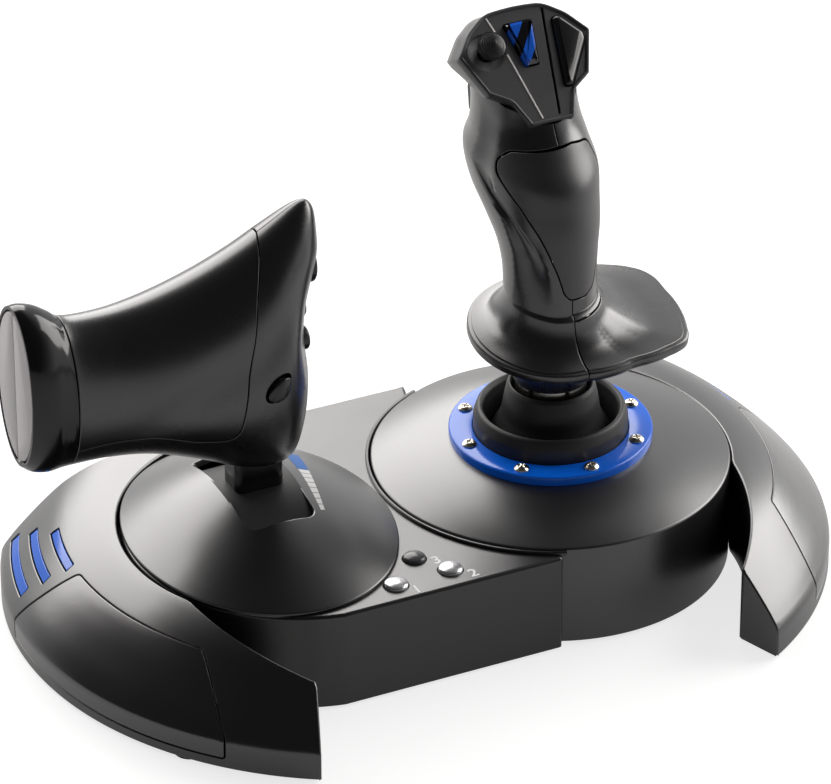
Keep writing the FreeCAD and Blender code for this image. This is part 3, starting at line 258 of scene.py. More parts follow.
def object_from(name, parts, finish, crease=32):
    # one object at the origin from parts given in millimetres from the stick's axis
    points, faces, normals, known = [], [], [], False
    for part_points, part_faces, part_normals in parts:
        start = sum(len(p) for p in points)
        ready = np.asarray(part_points)
        if part_normals is None:
            part_normals = np.zeros_like(ready)
            part_faces = outward(ready, part_faces)
        else:
            known = True
            a, b, c = (ready[[f[k] for f in part_faces]] for k in range(3))
            middle_normals = np.asarray(part_normals)[[f[1] for f in part_faces]]
            if np.sum(np.cross(b - a, c - b) * middle_normals) < 0:
                part_faces = [f[::-1] for f in part_faces]
        points.append(ready)
        normals.append(part_normals)
        faces += [tuple(i + start for i in f) for f in part_faces]
    mesh = bpy.data.meshes.new(name)
    mesh.from_pydata(metres(np.concatenate(points)).tolist(), [], faces)
    mesh.shade_smooth()
    mesh.set_sharp_from_angle(angle=math.radians(crease))
    if known:
        mesh.normals_split_custom_set_from_vertices(np.concatenate(normals).tolist())
    mesh.materials.append(finish)
    return placed(name, mesh)


def fit(made, body, slot, *nodes):
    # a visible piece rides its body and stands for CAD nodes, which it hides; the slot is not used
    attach(made, body)
    if nodes:
        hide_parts(*nodes)


def piece(name, parts, finish, body, slot, *nodes):
    made = object_from(name, parts, finish)
    fit(made, body, slot, *nodes)


def group_node(tree, name, **values):
    return node_in(tree, "ShaderNodeGroup", node_tree=bpy.data.node_groups[name],
                   inputs={key.replace("_", " "): value for key, value in values.items()})


def new_group(name, inputs, outputs):
    tree = bpy.data.node_groups.new(name, "ShaderNodeTree")
    for label, value in inputs:
        made = tree.interface.new_socket(label, in_out="INPUT", socket_type="NodeSocketFloat")
        made.default_value = value
    for label, kind in outputs:
        tree.interface.new_socket(label, in_out="OUTPUT", socket_type=kind)
    return tree, tree.nodes.new("NodeGroupInput"), tree.nodes.new("NodeGroupOutput")


# moulded grain: a bumped noise at the grain's size, with a slow drift in its roughness
tree, given, result = new_group(
    "moulded_grain", [("Grain mm", 0.25), ("Depth", 0.2), ("Roughness", 0.4), ("Drift", 0.06)],
    [("Normal", "NodeSocketVector"), ("Roughness", "NodeSocketFloat")])
where = node_in(tree, "ShaderNodeTexCoord").outputs["Object"]
pitch = node_in(tree, "ShaderNodeMath", "DIVIDE", {0: 1000, 1: given.outputs["Grain mm"]})
grain = node_in(tree, "ShaderNodeTexNoise", inputs={"Vector": where, "Scale": pitch,
                                                    "Detail": 1.5})
bump = node_in(tree, "ShaderNodeBump", inputs={
    "Distance": 0.00006, "Strength": given.outputs["Depth"], "Height": grain})
slow = node_in(tree, "ShaderNodeTexNoise", inputs={"Vector": where, "Scale": 60, "Detail": 4})
centred = node_in(tree, "ShaderNodeMath", "SUBTRACT", {0: slow, 1: 0.5})
drifted = node_in(tree, "ShaderNodeMath", "MULTIPLY_ADD", {0: centred, 1: given.outputs["Drift"],
                                                           2: given.outputs["Roughness"]})
tree.links.new(bump.outputs["Normal"], result.inputs["Normal"])
tree.links.new(drifted.outputs["Value"], result.inputs["Roughness"])


def moulded(name, colour, roughness, grain_mm=0.25, depth=0.2, drift=0.06, coat=0.0, sheen=0.5,
            metal=0.0):
    # a moulded plastic, rubber or metal: its own colour over the shared grain
    made, tree, shader = new_finish(
        name, Base_Color=(*colour, 1), Metallic=metal, Coat_Weight=coat,
        Coat_Roughness=0.06 if sheen == 0.5 else roughness, Specular_IOR_Level=sheen)
    surface = group_node(tree, "moulded_grain", Grain_mm=grain_mm, Depth=depth,
                         Roughness=roughness, Drift=drift)
    for socket in ("Normal", "Roughness"):
        tree.links.new(surface.outputs[socket], shader.inputs[socket])
    return made


satin_case = moulded("satin_case", (0.0065, 0.006, 0.0075), 0.31, grain_mm=0.38, depth=0.5,
                     coat=0.7, sheen=1.0)
plate_path = rounded([(36.4, 50.2), (38.6, 50.2), (67.1, 41.2, 1.1), (67.4, 1.2, 0.6), (64.6, 1.2)])
piece("stick_plate", [turned(plate_path, segments=256)], satin_case, "base", "case_black",
      "right_base_shell")

# ---------------------------------------------------------------- blue ring
# A glossy moulded ring with rounded edges, screwed down over the boot's flange.

ring_blue = moulded("ring_blue", (0.003, 0.14, 0.78), 0.13, grain_mm=2.5, depth=0.02, drift=0.03)
ring_path = rounded([(29.0, 48.8), (29.0, 53.7, 0.5), (38.0, 53.7, 0.9), (38.0, 50.2), (36.3, 50.2),
                     (36.3, 47.0)])
piece("blue_ring", [turned(ring_path, segments=256)], ring_blue, "base", "accent_blue",
      "pivot_ring")

# ---------------------------------------------------------------- screws
# Zinc pan-head screws with a cross recess.  One head is modelled and set round the ring.

zinc = moulded("zinc", (0.78, 0.72, 0.62), 0.22, grain_mm=0.8, depth=0.15, drift=0.2, metal=1.0)


def settle(made):
    # applies an object's modifiers
    depsgraph = bpy.context.evaluated_depsgraph_get()
    done = bpy.data.meshes.new_from_object(made.evaluated_get(depsgraph))
    made.modifiers.clear()
    old, made.data = made.data, done
    bpy.data.meshes.remove(old)


def screw_head(name, radius, height):
    # a domed head on a short shank, centred on the origin, with a tapered cross cut in
    head_path = rounded([(0.01, height), (radius * 0.62, height * 0.96, radius * 0.5),
                         (radius, height * 0.3, radius * 0.3), (radius, 0), (radius * 0.5, 0),
                         (radius * 0.5, -6)])
    head = object_from(name, [turned(head_path, segments=48)], zinc)
    head.data.transform(Matrix.Translation(-Vector(STICK)))
    for turn in (0, math.pi / 2):
        blade = object_from("blade", [rows(
            [[(-x, -y, z), (x, -y, z), (x, y, z), (-x, y, z)]
             for x, y, z in ((radius * 0.28, radius * 0.06, height - 1.1),
                             (radius * 0.66, radius * 0.13, height + 0.3))],
            first=True, last=True)], zinc)
        blade.data.transform(Matrix.Rotation(turn, 4, "Z") @ Matrix.Translation(-Vector(STICK)))
        slot = head.modifiers.new("cross", "BOOLEAN")
        slot.operation = "DIFFERENCE"
        slot.object = blade
        settle(head)
        bpy.data.objects.remove(blade)
    return head


def repeated(name, source, places, turns):
    # copies of the source at places in metres, each turned by its Euler angles
    base = bpy.data.meshes.new(name)
    base.from_pydata([tuple(p) for p in places], [], [])
    spin = base.attributes.new("spin", "FLOAT_VECTOR", "POINT")
    spin.data.foreach_set("vector", np.asarray(turns, np.float32).ravel())
    made = placed(name, base)
    tree = bpy.data.node_groups.new(name, "GeometryNodeTree")
    for way in ("INPUT", "OUTPUT"):
        tree.interface.new_socket("Geometry", in_out=way, socket_type="NodeSocketGeometry")
    points = node_in(tree, "NodeGroupInput")
    part = node_in(tree, "GeometryNodeObjectInfo", inputs={"Object": source})
    named = node_in(tree, "GeometryNodeInputNamedAttribute", data_type="FLOAT_VECTOR",
                    inputs={"Name": "spin"})
    turn = node_in(tree, "FunctionNodeEulerToRotation", inputs={"Euler": named})
    spread = node_in(tree, "GeometryNodeInstanceOnPoints", inputs={
        "Points": points, "Instance": part.outputs["Geometry"], "Rotation": turn})
    real = node_in(tree, "GeometryNodeRealizeInstances", inputs={"Geometry": spread})
    paint = node_in(tree, "GeometryNodeSetMaterial", inputs={"Geometry": real,
                                                             "Material": source.data.materials[0]})
    node_in(tree, "NodeGroupOutput", inputs={"Geometry": paint})
    made.modifiers.new("repeat", "NODES").node_group = tree
    settle(made)
    bpy.data.objects.remove(source)
    return made


SCREWS, SCREW_CIRCLE, RING_TOP = 8, 33.6, 53.7
ring_angles = np.arange(SCREWS) * math.tau / SCREWS
ring_places = [metres((SCREW_CIRCLE * math.cos(a), SCREW_CIRCLE * math.sin(a), RING_TOP))
               for a in ring_angles]
ring_turns = [(0, 0, 1.3 * i) for i in range(SCREWS)]
fit(repeated("ring_screws", screw_head("ring_screw", 2.8, 1.5), ring_places, ring_turns),
    "base", "screw_zinc", "pivot_ring_screws")

# ---------------------------------------------------------------- rubber boot and shaft
# A thick matt collar rolls over into a glossy trough; a bell rises from it round the shaft,
# a metal sleeve with six slots.

boot_rubber = moulded("boot_rubber", (0.014, 0.014, 0.0145), 0.5, grain_mm=0.6, depth=0.12,
                      drift=0.14)
collar_path = rounded([(29.4, 48.6), (28.9, 53.6), (28.8, 58.6, 2.0), (27.6, 62.2, 2.4),
                       (26.2, 62.9, 2.0), (25.0, 61.2, 1.5), (24.6, 57, 2), (24.9, 47.5)])
piece("boot_collar_skin", [turned(collar_path, segments=192)], boot_rubber, "base", "boot_rubber",
      "boot_collar")
bell_path = rounded([(13.4, 63.4), (14.7, 66.0), (14.9, 72.2, 0.5), (15.5, 73.0, 0.5),
                     (16.5, 71.4, 1.2), (17.6, 66.0, 6), (18.5, 60.0, 8), (19.6, 57.4, 2.5),
                     (21.6, 54.0, 2), (22.4, 52.1)])
piece("boot_bell", [turned(bell_path, segments=192)], boot_rubber, "shaft", "boot_rubber",
      "boot_cone")

# ---------------------------------------------------------------- throttle unit's body
# A tub of satin plastic docked against the stick unit: a flat deck with a rounded front edge,
# pierced for the dome and three buttons, with a raised bead where it meets the round plate.


def spaced(path, gap):
    # a closed path with its long sides divided
    points = []
    for a, b in zip(path, np.roll(path, -1, 0)):
        count = max(1, math.ceil(np.linalg.norm(b - a) / gap))
        points += [a + (b - a) * k / count for k in range(count)]
    return np.array(points)


def running(path, anticlockwise=True):
    # the same closed path, run the asked way round
    x, y = path[:, 0], path[:, 1]
    area = np.sum(x * np.roll(y, -1) - np.roll(x, -1) * y)
    return path if (area > 0) == anticlockwise else path[::-1]


def away_from(loop):
    # unit vectors to the right of a closed loop, away from the material on its left
    along = np.roll(loop, -1, 0) - np.roll(loop, 1, 0)
    along /= np.linalg.norm(along, axis=1, keepdims=True)
    return columns(along[:, 1], -along[:, 0])


def inside(points, loop):
    a, b = loop, np.roll(loop, -1, 0)
    x, y = points[:, :1], points[:, 1:]
    crosses = (a[:, 1] > y) != (b[:, 1] > y)
    rise = np.where(b[:, 1] == a[:, 1], 1e-9, b[:, 1] - a[:, 1])
    return np.sum(crosses & (x < (b[:, 0] - a[:, 0]) * (y - a[:, 1]) / rise + a[:, 0]), 1) % 2 == 1


def clear_of(points, loop):
    # each point's distance from a closed loop
    a, b = loop, np.roll(loop, -1, 0)
    best = np.full(len(points), 1e9)
    for p, q in zip(a, b):
        side = q - p
        share = np.clip((points - p) @ side / max(side @ side, 1e-12), 0, 1)
        best = np.minimum(best, np.linalg.norm(points - p - share[:, None] * side, axis=1))
    return best


def unit(vectors):
    return vectors / np.maximum(np.linalg.norm(vectors, axis=1, keepdims=True), 1e-12)


def facing(surface, points):
    # the surface's unit normals
    step = 0.02
    across = surface(points + (step, 0)) - surface(points - (step, 0))
    along = surface(points + (0, step)) - surface(points - (0, step))
    return unit(np.cross(across, along))


def skin(surface, outline, holes=(), gap=0.12, lip=0.25, deep=1.4, spacing=1.6, floor_z=None,
         hole_lip=0.25, hand=1):
    # a skin over an outline on a surface; each edge is set back by a gap, rolls over a lip and
    # goes down as a wall: into the body, or with floor_z the outer one straight to that height;
    # hand is -1 where the surface runs the other way round
    loops = [running(spaced(np.asarray(outline, float), spacing * 0.6))]
    loops += [running(spaced(np.asarray(hole, float), spacing * 0.5), False) for hole in holes]
    lips = [lip] + [hole_lip] * len(holes)
    loops = [loop - away_from(loop) * (gap + edge) for loop, edge in zip(loops, lips)]
    low, high = loops[0].min(0), loops[0].max(0)
    grid = np.array([(x + (row % 2) * spacing / 2, y)
                     for row, y in enumerate(np.arange(low[1], high[1], spacing * 0.87))
                     for x in np.arange(low[0], high[0], spacing)])
    keep = inside(grid, loops[0])
    for loop in loops[1:]:
        keep &= ~inside(grid, loop)
    grid = grid[keep]
    for loop in loops:
        grid = grid[clear_of(grid, loop) > spacing * 0.45]
    points, edges = [], []
    for loop in loops:
        start = len(points)
        points += [Vector(p) for p in loop]
        edges += [(start + i, start + (i + 1) % len(loop)) for i in range(len(loop))]
    points += [Vector(p) for p in grid]
    made, _, triangles, sources, _, _ = delaunay_2d_cdt(points, edges, [], 0, 1e-5)
    flat = np.array([tuple(p) for p in made])
    middles = flat[np.array(triangles)].mean(1)
    keep = inside(middles, loops[0])
    for loop in loops[1:]:
        keep &= ~inside(middles, loop)
    faces = [tuple(t) for t, kept in zip(triangles, keep) if kept]
    found = {source: i for i, group in enumerate(sources) for source in group}
    solid, normals = surface(flat), facing(surface, flat) * hand
    start = 0
    for loop, edge in zip(loops, lips):
        ring = [found[start + i] for i in range(len(loop))]
        straight = floor_z is not None and start == 0
        start += len(loop)
        base, up = solid[ring], normals[ring]
        out = surface(flat[ring] + away_from(loop) * 0.02) - base
        out = unit(out - up * np.sum(out * up, 1, keepdims=True))
        rounds = [(base + out * edge * math.sin(a) - up * edge * (1 - math.cos(a)),
                   up * math.cos(a) + out * math.sin(a)) for a in np.radians((25, 50, 70, 90))]
        foot = base + out * edge - up * deep
        if straight:
            foot = np.column_stack((rounds[-1][0][:, :2], np.full(len(ring), floor_z)))
        rounds.append((foot, out))
        for row, row_normals in rounds:
            fresh = list(range(len(solid), len(solid) + len(row)))
            solid, normals = np.vstack((solid, row)), np.vstack((normals, row_normals))
            for i in range(len(ring)):
                j = (i + 1) % len(ring)
                faces.append((ring[i], fresh[i], fresh[j], ring[j]))
            ring = fresh
    return solid, faces, normals


def level(z):
    return lambda points: np.column_stack((points, np.full(len(points), z)))


def arc(centre, radius, first, last, step=2.5):
    # points on a circle from one angle to another, in degrees
    count = max(2, math.ceil(abs(last - first) / step) + 1)
    turn = np.radians(np.linspace(first, last, count))
    return columns(centre[0] + radius * np.cos(turn), centre[1] + radius * np.sin(turn))


def oval(centre, half_x, half_y, count=120):
    turn = np.linspace(0, math.tau, count, endpoint=False)
    return columns(centre[0] + half_x * np.cos(turn), centre[1] + half_y * np.sin(turn))


UNIT_X, UNIT_RADIUS, FRONT_Y, BACK_Y, DECK_Z = -102.0, 66.4, -65.2, 69.7, 39.8
PLATE_EDGE = 67.7
DECK_END = -27.0
meet = math.degrees(math.acos(DECK_END / PLATE_EDGE))
shoulder = PLATE_EDGE * math.cos(math.radians(75))
left_back = UNIT_X - shoulder
front_turn = math.degrees(math.asin(-FRONT_Y / UNIT_RADIUS))
back_turn = math.degrees(math.acos((left_back - UNIT_X) / UNIT_RADIUS))
deck_outline = np.vstack((
    rounded([(-60, FRONT_Y), (DECK_END, FRONT_Y, 5.0), (DECK_END, -62.3)])[1:],
    arc((0, 0), PLATE_EDGE, 360 - meet, meet)[1:-1],
    [(DECK_END, BACK_Y), (left_back, BACK_Y)],
    arc((UNIT_X, 0), UNIT_RADIUS, back_turn, 180 + front_turn)))
DOME = (-119.0, 0.0)
BUTTONS = {"left_panel_button": (-89.9, -55.6, 4.5), "right_panel_button": (-67.7, -54.7, 4.5),
           "centre_panel_button": (-76.3, -42.4, 4.2)}
deck_holes = [oval(DOME, 47, 58.5)] + [oval((x, y), r + 0.3, r + 0.3, 40)
                                       for x, y, r in BUTTONS.values()]
satin_deck = moulded("satin_deck", (0.0065, 0.006, 0.0075), 0.3, grain_mm=0.38, depth=0.45,
                     coat=0.25, sheen=0.8)
deck = skin(level(DECK_Z), deck_outline, deck_holes, gap=0, lip=1.4, deep=3, spacing=5,
            floor_z=1.2)
# the bead: a thin raised line on the deck all along the plate's edge
bead_turn = np.radians(np.linspace(360 - meet + 2.0, meet - 1.0, 120))
bead_rows = []
for radius, z in ((PLATE_EDGE, 38.6), (PLATE_EDGE, 40.6), (PLATE_EDGE + 0.25, 40.95),
                  (PLATE_EDGE + 0.9, 41.0), (PLATE_EDGE + 1.25, 40.6), (PLATE_EDGE + 1.3, 39.7)):
    bead_rows.append(columns(radius * np.cos(bead_turn), radius * np.sin(bead_turn), z))
piece("deck_bead", [rows(bead_rows, wrap=False)], satin_deck, "base", "case_black",
      "left_base_shell")
piece("deck_tub", [deck], satin_deck, "base", "case_black", "left_base_shell")

# ---------------------------------------------------------------- panel buttons
# Three domed buttons through the deck: two silvered, one dark.  Their names are left off and
# plain numbers stand beside them.

button_silver = moulded("button_silver", (0.62, 0.62, 0.64), 0.24, grain_mm=1.2, depth=0.03,
                        metal=0.75)
button_dark = moulded("button_dark", (0.06, 0.06, 0.065), 0.2, grain_mm=1.2, depth=0.03)
for label, (x, y, radius) in BUTTONS.items():
    dome_path = [(r, 41.9 - 1.0 * (r / radius) ** 2) for r in np.linspace(0.05, radius - 0.5, 10)]
    dome_path += [(radius - 0.15, 40.75), (radius, 40.3), (radius, 34.5), (radius + 1.1, 34.4),
                  (radius + 1.1, 33.1)]
    slot, finish = (("button_dark", button_dark) if label.startswith("centre")
                    else ("button_silver", button_silver))
    piece(label + "_cap", [turned(dome_path, (x, y), 64, first=True)], finish, label, slot, label)
white_ink = moulded("white_ink", (0.78, 0.78, 0.78), 0.45, grain_mm=0.3, depth=0.05)


def numeral(text):
    # a numeral as a mesh of flat faces about the origin, in millimetres
    curve = bpy.data.curves.new("deck_numeral", "FONT")
    curve.body = text
    curve.size = 6.8
    curve.align_x = curve.align_y = "CENTER"
    curve.extrude = 0.03
    curve.offset = 0.11
    written = placed("deck_numeral", curve)
    mesh = bpy.data.meshes.new_from_object(
        written.evaluated_get(bpy.context.evaluated_depsgraph_get()))
    points = np.array([tuple(v.co) for v in mesh.vertices])
    faces = [tuple(f.vertices) for f in mesh.polygons]
    bpy.data.objects.remove(written)
    bpy.data.meshes.remove(mesh)
    return points, faces


marks = []
for text, (x, y) in (("1", (-84.2, -61.2)), ("2", (-61.2, -60.2)), ("3", (-69.6, -46.8))):
    points, faces = numeral(text)
    marks.append((points + (x, y, DECK_Z + 0.02), faces, None))
piece("deck_numbers", marks, white_ink, "base", "case_black")

# ---------------------------------------------------------------- dome
# A satin cap over the lever's swing, its crown leaning back, with a slot for the lever.  A
# graduated stripe printed beside the slot runs from a blue end through white bars.

DOME_HALF_X, DOME_HALF_Y, DOME_RIM_Z, DOME_RISE, CROWN_BACK = 49.3, 61, 41, 20.5, 7


def dome_height(points):
    # the cap rises as a softened cone whose rings close in on a crown set back from the middle
    x, y = (points[:, 0] - DOME[0]) / DOME_HALF_X, points[:, 1] - DOME[1] - CROWN_BACK
    a = 1 - CROWN_BACK ** 2 / DOME_HALF_Y ** 2
    b = CROWN_BACK * y / DOME_HALF_Y ** 2
    c = -(x ** 2 + y ** 2 / DOME_HALF_Y ** 2)
    share = np.clip((b + np.sqrt(np.maximum(b * b - a * c, 0))) / a, 1e-4, 1)
    share = np.sqrt(share ** 2 + 0.0025) - 0.05 * (1 - share)
    return DOME_RIM_Z + DOME_RISE * (1 - share ** 1.45)


def dome_surface(points):
    return np.column_stack((points, dome_height(points)))


SLOT = block(-132, -22.0, -105.5, 31, (4.0, 4.0, 2.0, 2.0))
satin_dome = moulded("satin_dome", (0.0065, 0.006, 0.0075), 0.31, grain_mm=0.3, depth=0.35,
                     coat=0.7, sheen=1.0)
dome = skin(dome_surface, oval(DOME, DOME_HALF_X, DOME_HALF_Y, 200), [SLOT], gap=0, lip=0.8,
            deep=2.2, spacing=2.4, floor_z=39.7, hole_lip=0.7)
piece("dome_cap", [dome], satin_dome, "base", "case_black", "dome_cover")

STRIPE_FRONT, STRIPE_BLUE, STRIPE_BACK, BARS = -19.0, 7.2, 25.0, 8


def stripe_bar(low, high):
    # one bar of the stripe, laid on the dome between two places along the slot
    across, along = np.linspace(0, 1, 5), np.linspace(low, high, 4)
    grid = []
    for y in along:
        left = -102.7 + (y - STRIPE_FRONT) * 0.104
        right = -101.1 + (y - STRIPE_FRONT) * 0.21
        flat = columns(left + (right - left) * across, y)
        grid.append(dome_surface(flat) + facing(dome_surface, flat) * 0.05)
    return rows(grid, wrap=False)


bar_length = (STRIPE_BLUE - STRIPE_FRONT) / BARS
white_bars = [stripe_bar(STRIPE_FRONT + bar_length * i, STRIPE_FRONT + bar_length * (i + 1) - 0.35)
              for i in range(BARS)]
blue_bars = [stripe_bar(STRIPE_BLUE + 1.6 * i, STRIPE_BLUE + 1.6 * (i + 1) - 0.12)
             for i in range(int((STRIPE_BACK - STRIPE_BLUE) / 1.6))]
blue_ink = moulded("blue_ink", (0.004, 0.13, 0.47), 0.4, grain_mm=0.3, depth=0.08)
piece("white_scale_bars", white_bars, white_ink, "base", "case_black")
piece("blue_scale_bars", blue_bars, blue_ink, "base", "accent_blue")

# ---------------------------------------------------------------- lever and shutter
# A glossy block of a lever rises through the slot into the handle.  A curved shutter rides on
# it just under the dome, so the slot stays closed as the lever swings.

gloss_case = moulded("gloss_case", (0.008, 0.008, 0.009), 0.16, grain_mm=2.0, depth=0.02,
                     drift=0.05)
lever_outline = block(-128.5, -3, -109.4, 11, 3.2, step=0.2)
lever_loop = running(spaced(lever_outline, 1.2))
lever_rows = [np.column_stack((lever_loop - away_from(lever_loop) * inset,
                               np.full(len(lever_loop), z)))
              for inset, z in ((0.3, 20), (0, 22), (0, 62), (0.25, 82))]
piece("lever_block", [rows(lever_rows, first=True, last=True)], gloss_case, "lever", "gloss_black",
      "throttle_arm")
AXLE_Y, AXLE_Z = 4.0, 14.0
shutter_turn = np.radians(np.linspace(-62, 62, 60))
shutter_rows = []
for x, radius in ((-133.0, 43.6), (-133.0, 45.0), (-119.0, 45.2), (-104.8, 45.0), (-104.8, 43.6)):
    shutter_rows.append(columns(x, AXLE_Y + radius * np.sin(shutter_turn),
                                AXLE_Z + radius * np.cos(shutter_turn)))
shutter_black = moulded("shutter_black", (0.016, 0.016, 0.017), 0.55, grain_mm=0.5, depth=0.9)
piece("shutter_sheet", [rows(shutter_rows, wrap=False)], shutter_black, "lever", "case_black",
      "slot_shutter")

# ---------------------------------------------------------------- wings
# Two mirrored arms sweep forward from the units: turned shells that fall in one curve to an
# upright rim, each with a separate cover let into its slope and three blue inlays behind it.

WING_MIDDLE, WING_RADIUS, WING_FOOT = (-25.7, 8.7), 131.7, 1.2
MIRROR_X = -51.0
wing_profile = np.array([(40, 41.2), (70, 41.25), (84, 41.2), (92, 40.7), (99, 39.3), (105, 37.0),
                         (110, 34.2), (116, 29.3), (122, 23.6), (127, 18.4), (130.3, 14.4)])


def curve_through(points, count):
    # a smooth curve through points, by the centripetal rule
    points = np.asarray(points, float)
    ends = np.vstack((2 * points[0] - points[1], points, 2 * points[-1] - points[-2]))
    line = []
    for i in range(1, len(ends) - 2):
        p = ends[i - 1:i + 3]
        t = np.concatenate(([0], np.cumsum(np.sqrt(np.linalg.norm(np.diff(p, axis=0), axis=1)))))
        for s in np.linspace(t[1], t[2], count, endpoint=False):
            a = [p[k] + (p[k + 1] - p[k]) * (s - t[k]) / (t[k + 1] - t[k]) for k in range(3)]
            b = [a[k] + (a[k + 1] - a[k]) * (s - t[k]) / (t[k + 2] - t[k]) for k in range(2)]
            line.append(b[0] + (b[1] - b[0]) * (s - t[1]) / (t[2] - t[1]))
    return np.vstack((line, points[-1:]))


section = np.vstack((curve_through(wing_profile, 10)[:-1],
                     rounded([(130.3, 14.4), (WING_RADIUS, 12.0, 3.0), (WING_RADIUS, WING_FOOT)],
                             step=0.08)))
run = np.concatenate(([0], np.cumsum(np.linalg.norm(np.diff(section, axis=0), axis=1))))
BEND = 1.9


def wing_surface(points):
    # (angle in degrees x BEND, distance down the section) to a place on the right wing
    angle = np.radians(points[:, 0] / BEND)
    radius = np.interp(points[:, 1], run, section[:, 0])
    height = np.interp(points[:, 1], run, section[:, 1])
    return columns(WING_MIDDLE[0] + radius * np.cos(angle),
                   WING_MIDDLE[1] + radius * np.sin(angle), height)


def down_section(radius):
    # the distance down the wing's section at a radius
    return np.interp(radius, section[:-4, 0], run[:-4])


def on_wing(plan):
    # places in plan to the wing's sheet
    away = np.asarray(plan, float) - WING_MIDDLE
    return columns(np.degrees(np.arctan2(away[:, 1], away[:, 0])) * BEND,
                   down_section(np.minimum(np.linalg.norm(away, axis=1), WING_RADIUS)))


tip, heel = (40.4, -105.1), (33.8, -86.9)
back_x = WING_MIDDLE[0] + math.sqrt(WING_RADIUS ** 2 - (BACK_Y - WING_MIDDLE[1]) ** 2)
neck_start = arc((0, 0), PLATE_EDGE, -30.5, -30.5)[0]
plate_side = arc((0, 0), PLATE_EDGE, -30.5, 75)
inner_edge = arc((-34.6, -24.1), 94.1, math.degrees(math.atan2(-62.8, 68.4)),
                 math.degrees(math.atan2(neck_start[1] + 24.1, neck_start[0] + 34.6)))
wing_plan = np.vstack((np.linspace((back_x, BACK_Y), (plate_side[-1][0], BACK_Y), 20),
                       np.linspace((plate_side[-1][0], BACK_Y), plate_side[-1], 3)[1:-1],
                       plate_side[::-1][:-1], inner_edge[::-1], np.linspace(heel, tip, 8)[1:]))
top_path = on_wing(wing_plan)
bottom = run[-1]
rim_path = np.array([(top_path[-1][0], s) for s in np.linspace(top_path[-1][1], bottom, 6)][1:]
                    + [(t, bottom) for t in np.linspace(top_path[-1][0], top_path[0][0], 80)]
                    + [(top_path[0][0], s) for s in np.linspace(bottom, top_path[0][1], 6)][1:-1])
wing_outline = np.vstack((top_path, rim_path))
COVER_INNER, SLANT_REACH = 110, 145
seam = down_section(COVER_INNER)


def seam_turn(from_angle, skew, radius=WING_RADIUS):
    # where a cover's slanting end crosses a radius, in degrees
    start = arc((0, 0), COVER_INNER, from_angle, from_angle)[0]
    end = arc((0, 0), SLANT_REACH, from_angle + skew, from_angle + skew)[0]
    for share in np.linspace(0, 1, 400):
        at = start + (end - start) * share
        if np.linalg.norm(at) >= radius:
            return math.degrees(math.atan2(at[1], at[0]))
    return from_angle + skew


def cover_end(from_angle, skew):
    # a cover's slanting end, from its inner edge outward
    radii = np.linspace(COVER_INNER, WING_RADIUS - 0.4, 9)
    return [(seam_turn(from_angle, skew, r) * BEND, down_section(r)) for r in radii]


LEDGE = bottom - 3.9
front_end, back_end = cover_end(-35.5, -13), cover_end(0.2, 8.5)
cover_path = ([(-35.5 * BEND, seam, 2.0)] + front_end[1:]
              + [(front_end[-1][0], LEDGE, 1.2), (back_end[-1][0], LEDGE, 1.2)]
              + back_end[::-1][:-1] + [(0.2 * BEND, seam, 3.0)])
cover_outline = rounded(cover_path, closed=True)
inlay_outlines = []
for ring, first, last in ((111.5, 3.5, 17.0), (119.0, 6.0, 22.5), (126.2, 8.5, 26.0)):
    near, far = down_section(ring - 1.65), down_section(ring + 1.65)
    inlay_outlines.append(block(first * BEND, near, last * BEND, far, 0.5))


def other_side(part):
    # the same piece mirrored on the middle of the two units
    points, faces, normals = part
    turned_points, turned_normals = points.copy(), normals.copy()
    turned_points[:, 0] = 2 * MIRROR_X - points[:, 0]
    turned_normals[:, 0] *= -1
    return turned_points, faces, turned_normals


def sunk(surface, depth):
    # a surface moved in by a depth along its own normals
    return lambda points: surface(points) - facing(surface, points) * depth


def trimmed(part):
    # keeps a skin's rolled edges within the wing's own rim and front end
    points, faces, normals = part
    away = points[:, :2] - WING_MIDDLE
    far = np.linalg.norm(away, axis=1)
    points[:, :2] = WING_MIDDLE + away * np.minimum(WING_RADIUS / far, 1)[:, None]
    points[:, 1] = np.clip(points[:, 1], tip[1], BACK_Y)
    return points, faces, normals


wing = trimmed(skin(wing_surface, wing_outline, [cover_outline] + inlay_outlines, gap=0, lip=0.8,
                    deep=1.8, spacing=2.4, floor_z=WING_FOOT, hole_lip=0.4, hand=-1))
cover = trimmed(skin(wing_surface, cover_outline, gap=0.35, lip=0.45, deep=1.6, spacing=2.4,
                     hand=-1))
inlays = [skin(sunk(wing_surface, -0.35), outline, gap=0.45, lip=0.3, deep=0.6, spacing=1.2,
               hand=-1) for outline in inlay_outlines]
satin_wing = moulded("satin_wing", (0.0065, 0.006, 0.0075), 0.3, grain_mm=0.38, depth=0.5,
                     coat=0.7, sheen=1.0)
gloss_cover = moulded("gloss_cover", (0.0065, 0.006, 0.0075), 0.26, grain_mm=0.35, depth=0.25,
                      coat=0.9, sheen=1.0)
for name, part, finish, slot, node in (
        ("wing_skin", wing, satin_wing, "case_black", "wing_shell"),
        ("cover_skin", cover, gloss_cover, "gloss_black", "wing_cover")):
    piece("right_" + name, [part], finish, "base", slot, "right_" + node)
    piece("left_" + name, [other_side(part)], finish, "base", slot, "left_" + node)
piece("blue_inlays", inlays + [other_side(part) for part in inlays], ring_blue, "base",
      "accent_blue", "wing_inlays")

# ---------------------------------------------------------------- throttle handle
# A hand-shaped hollow moulding in two halves with a large rear panel let in, a gloss ring and
# a two-part disc on its left end, buttons on its hollowed thumb end and one beside the panel.

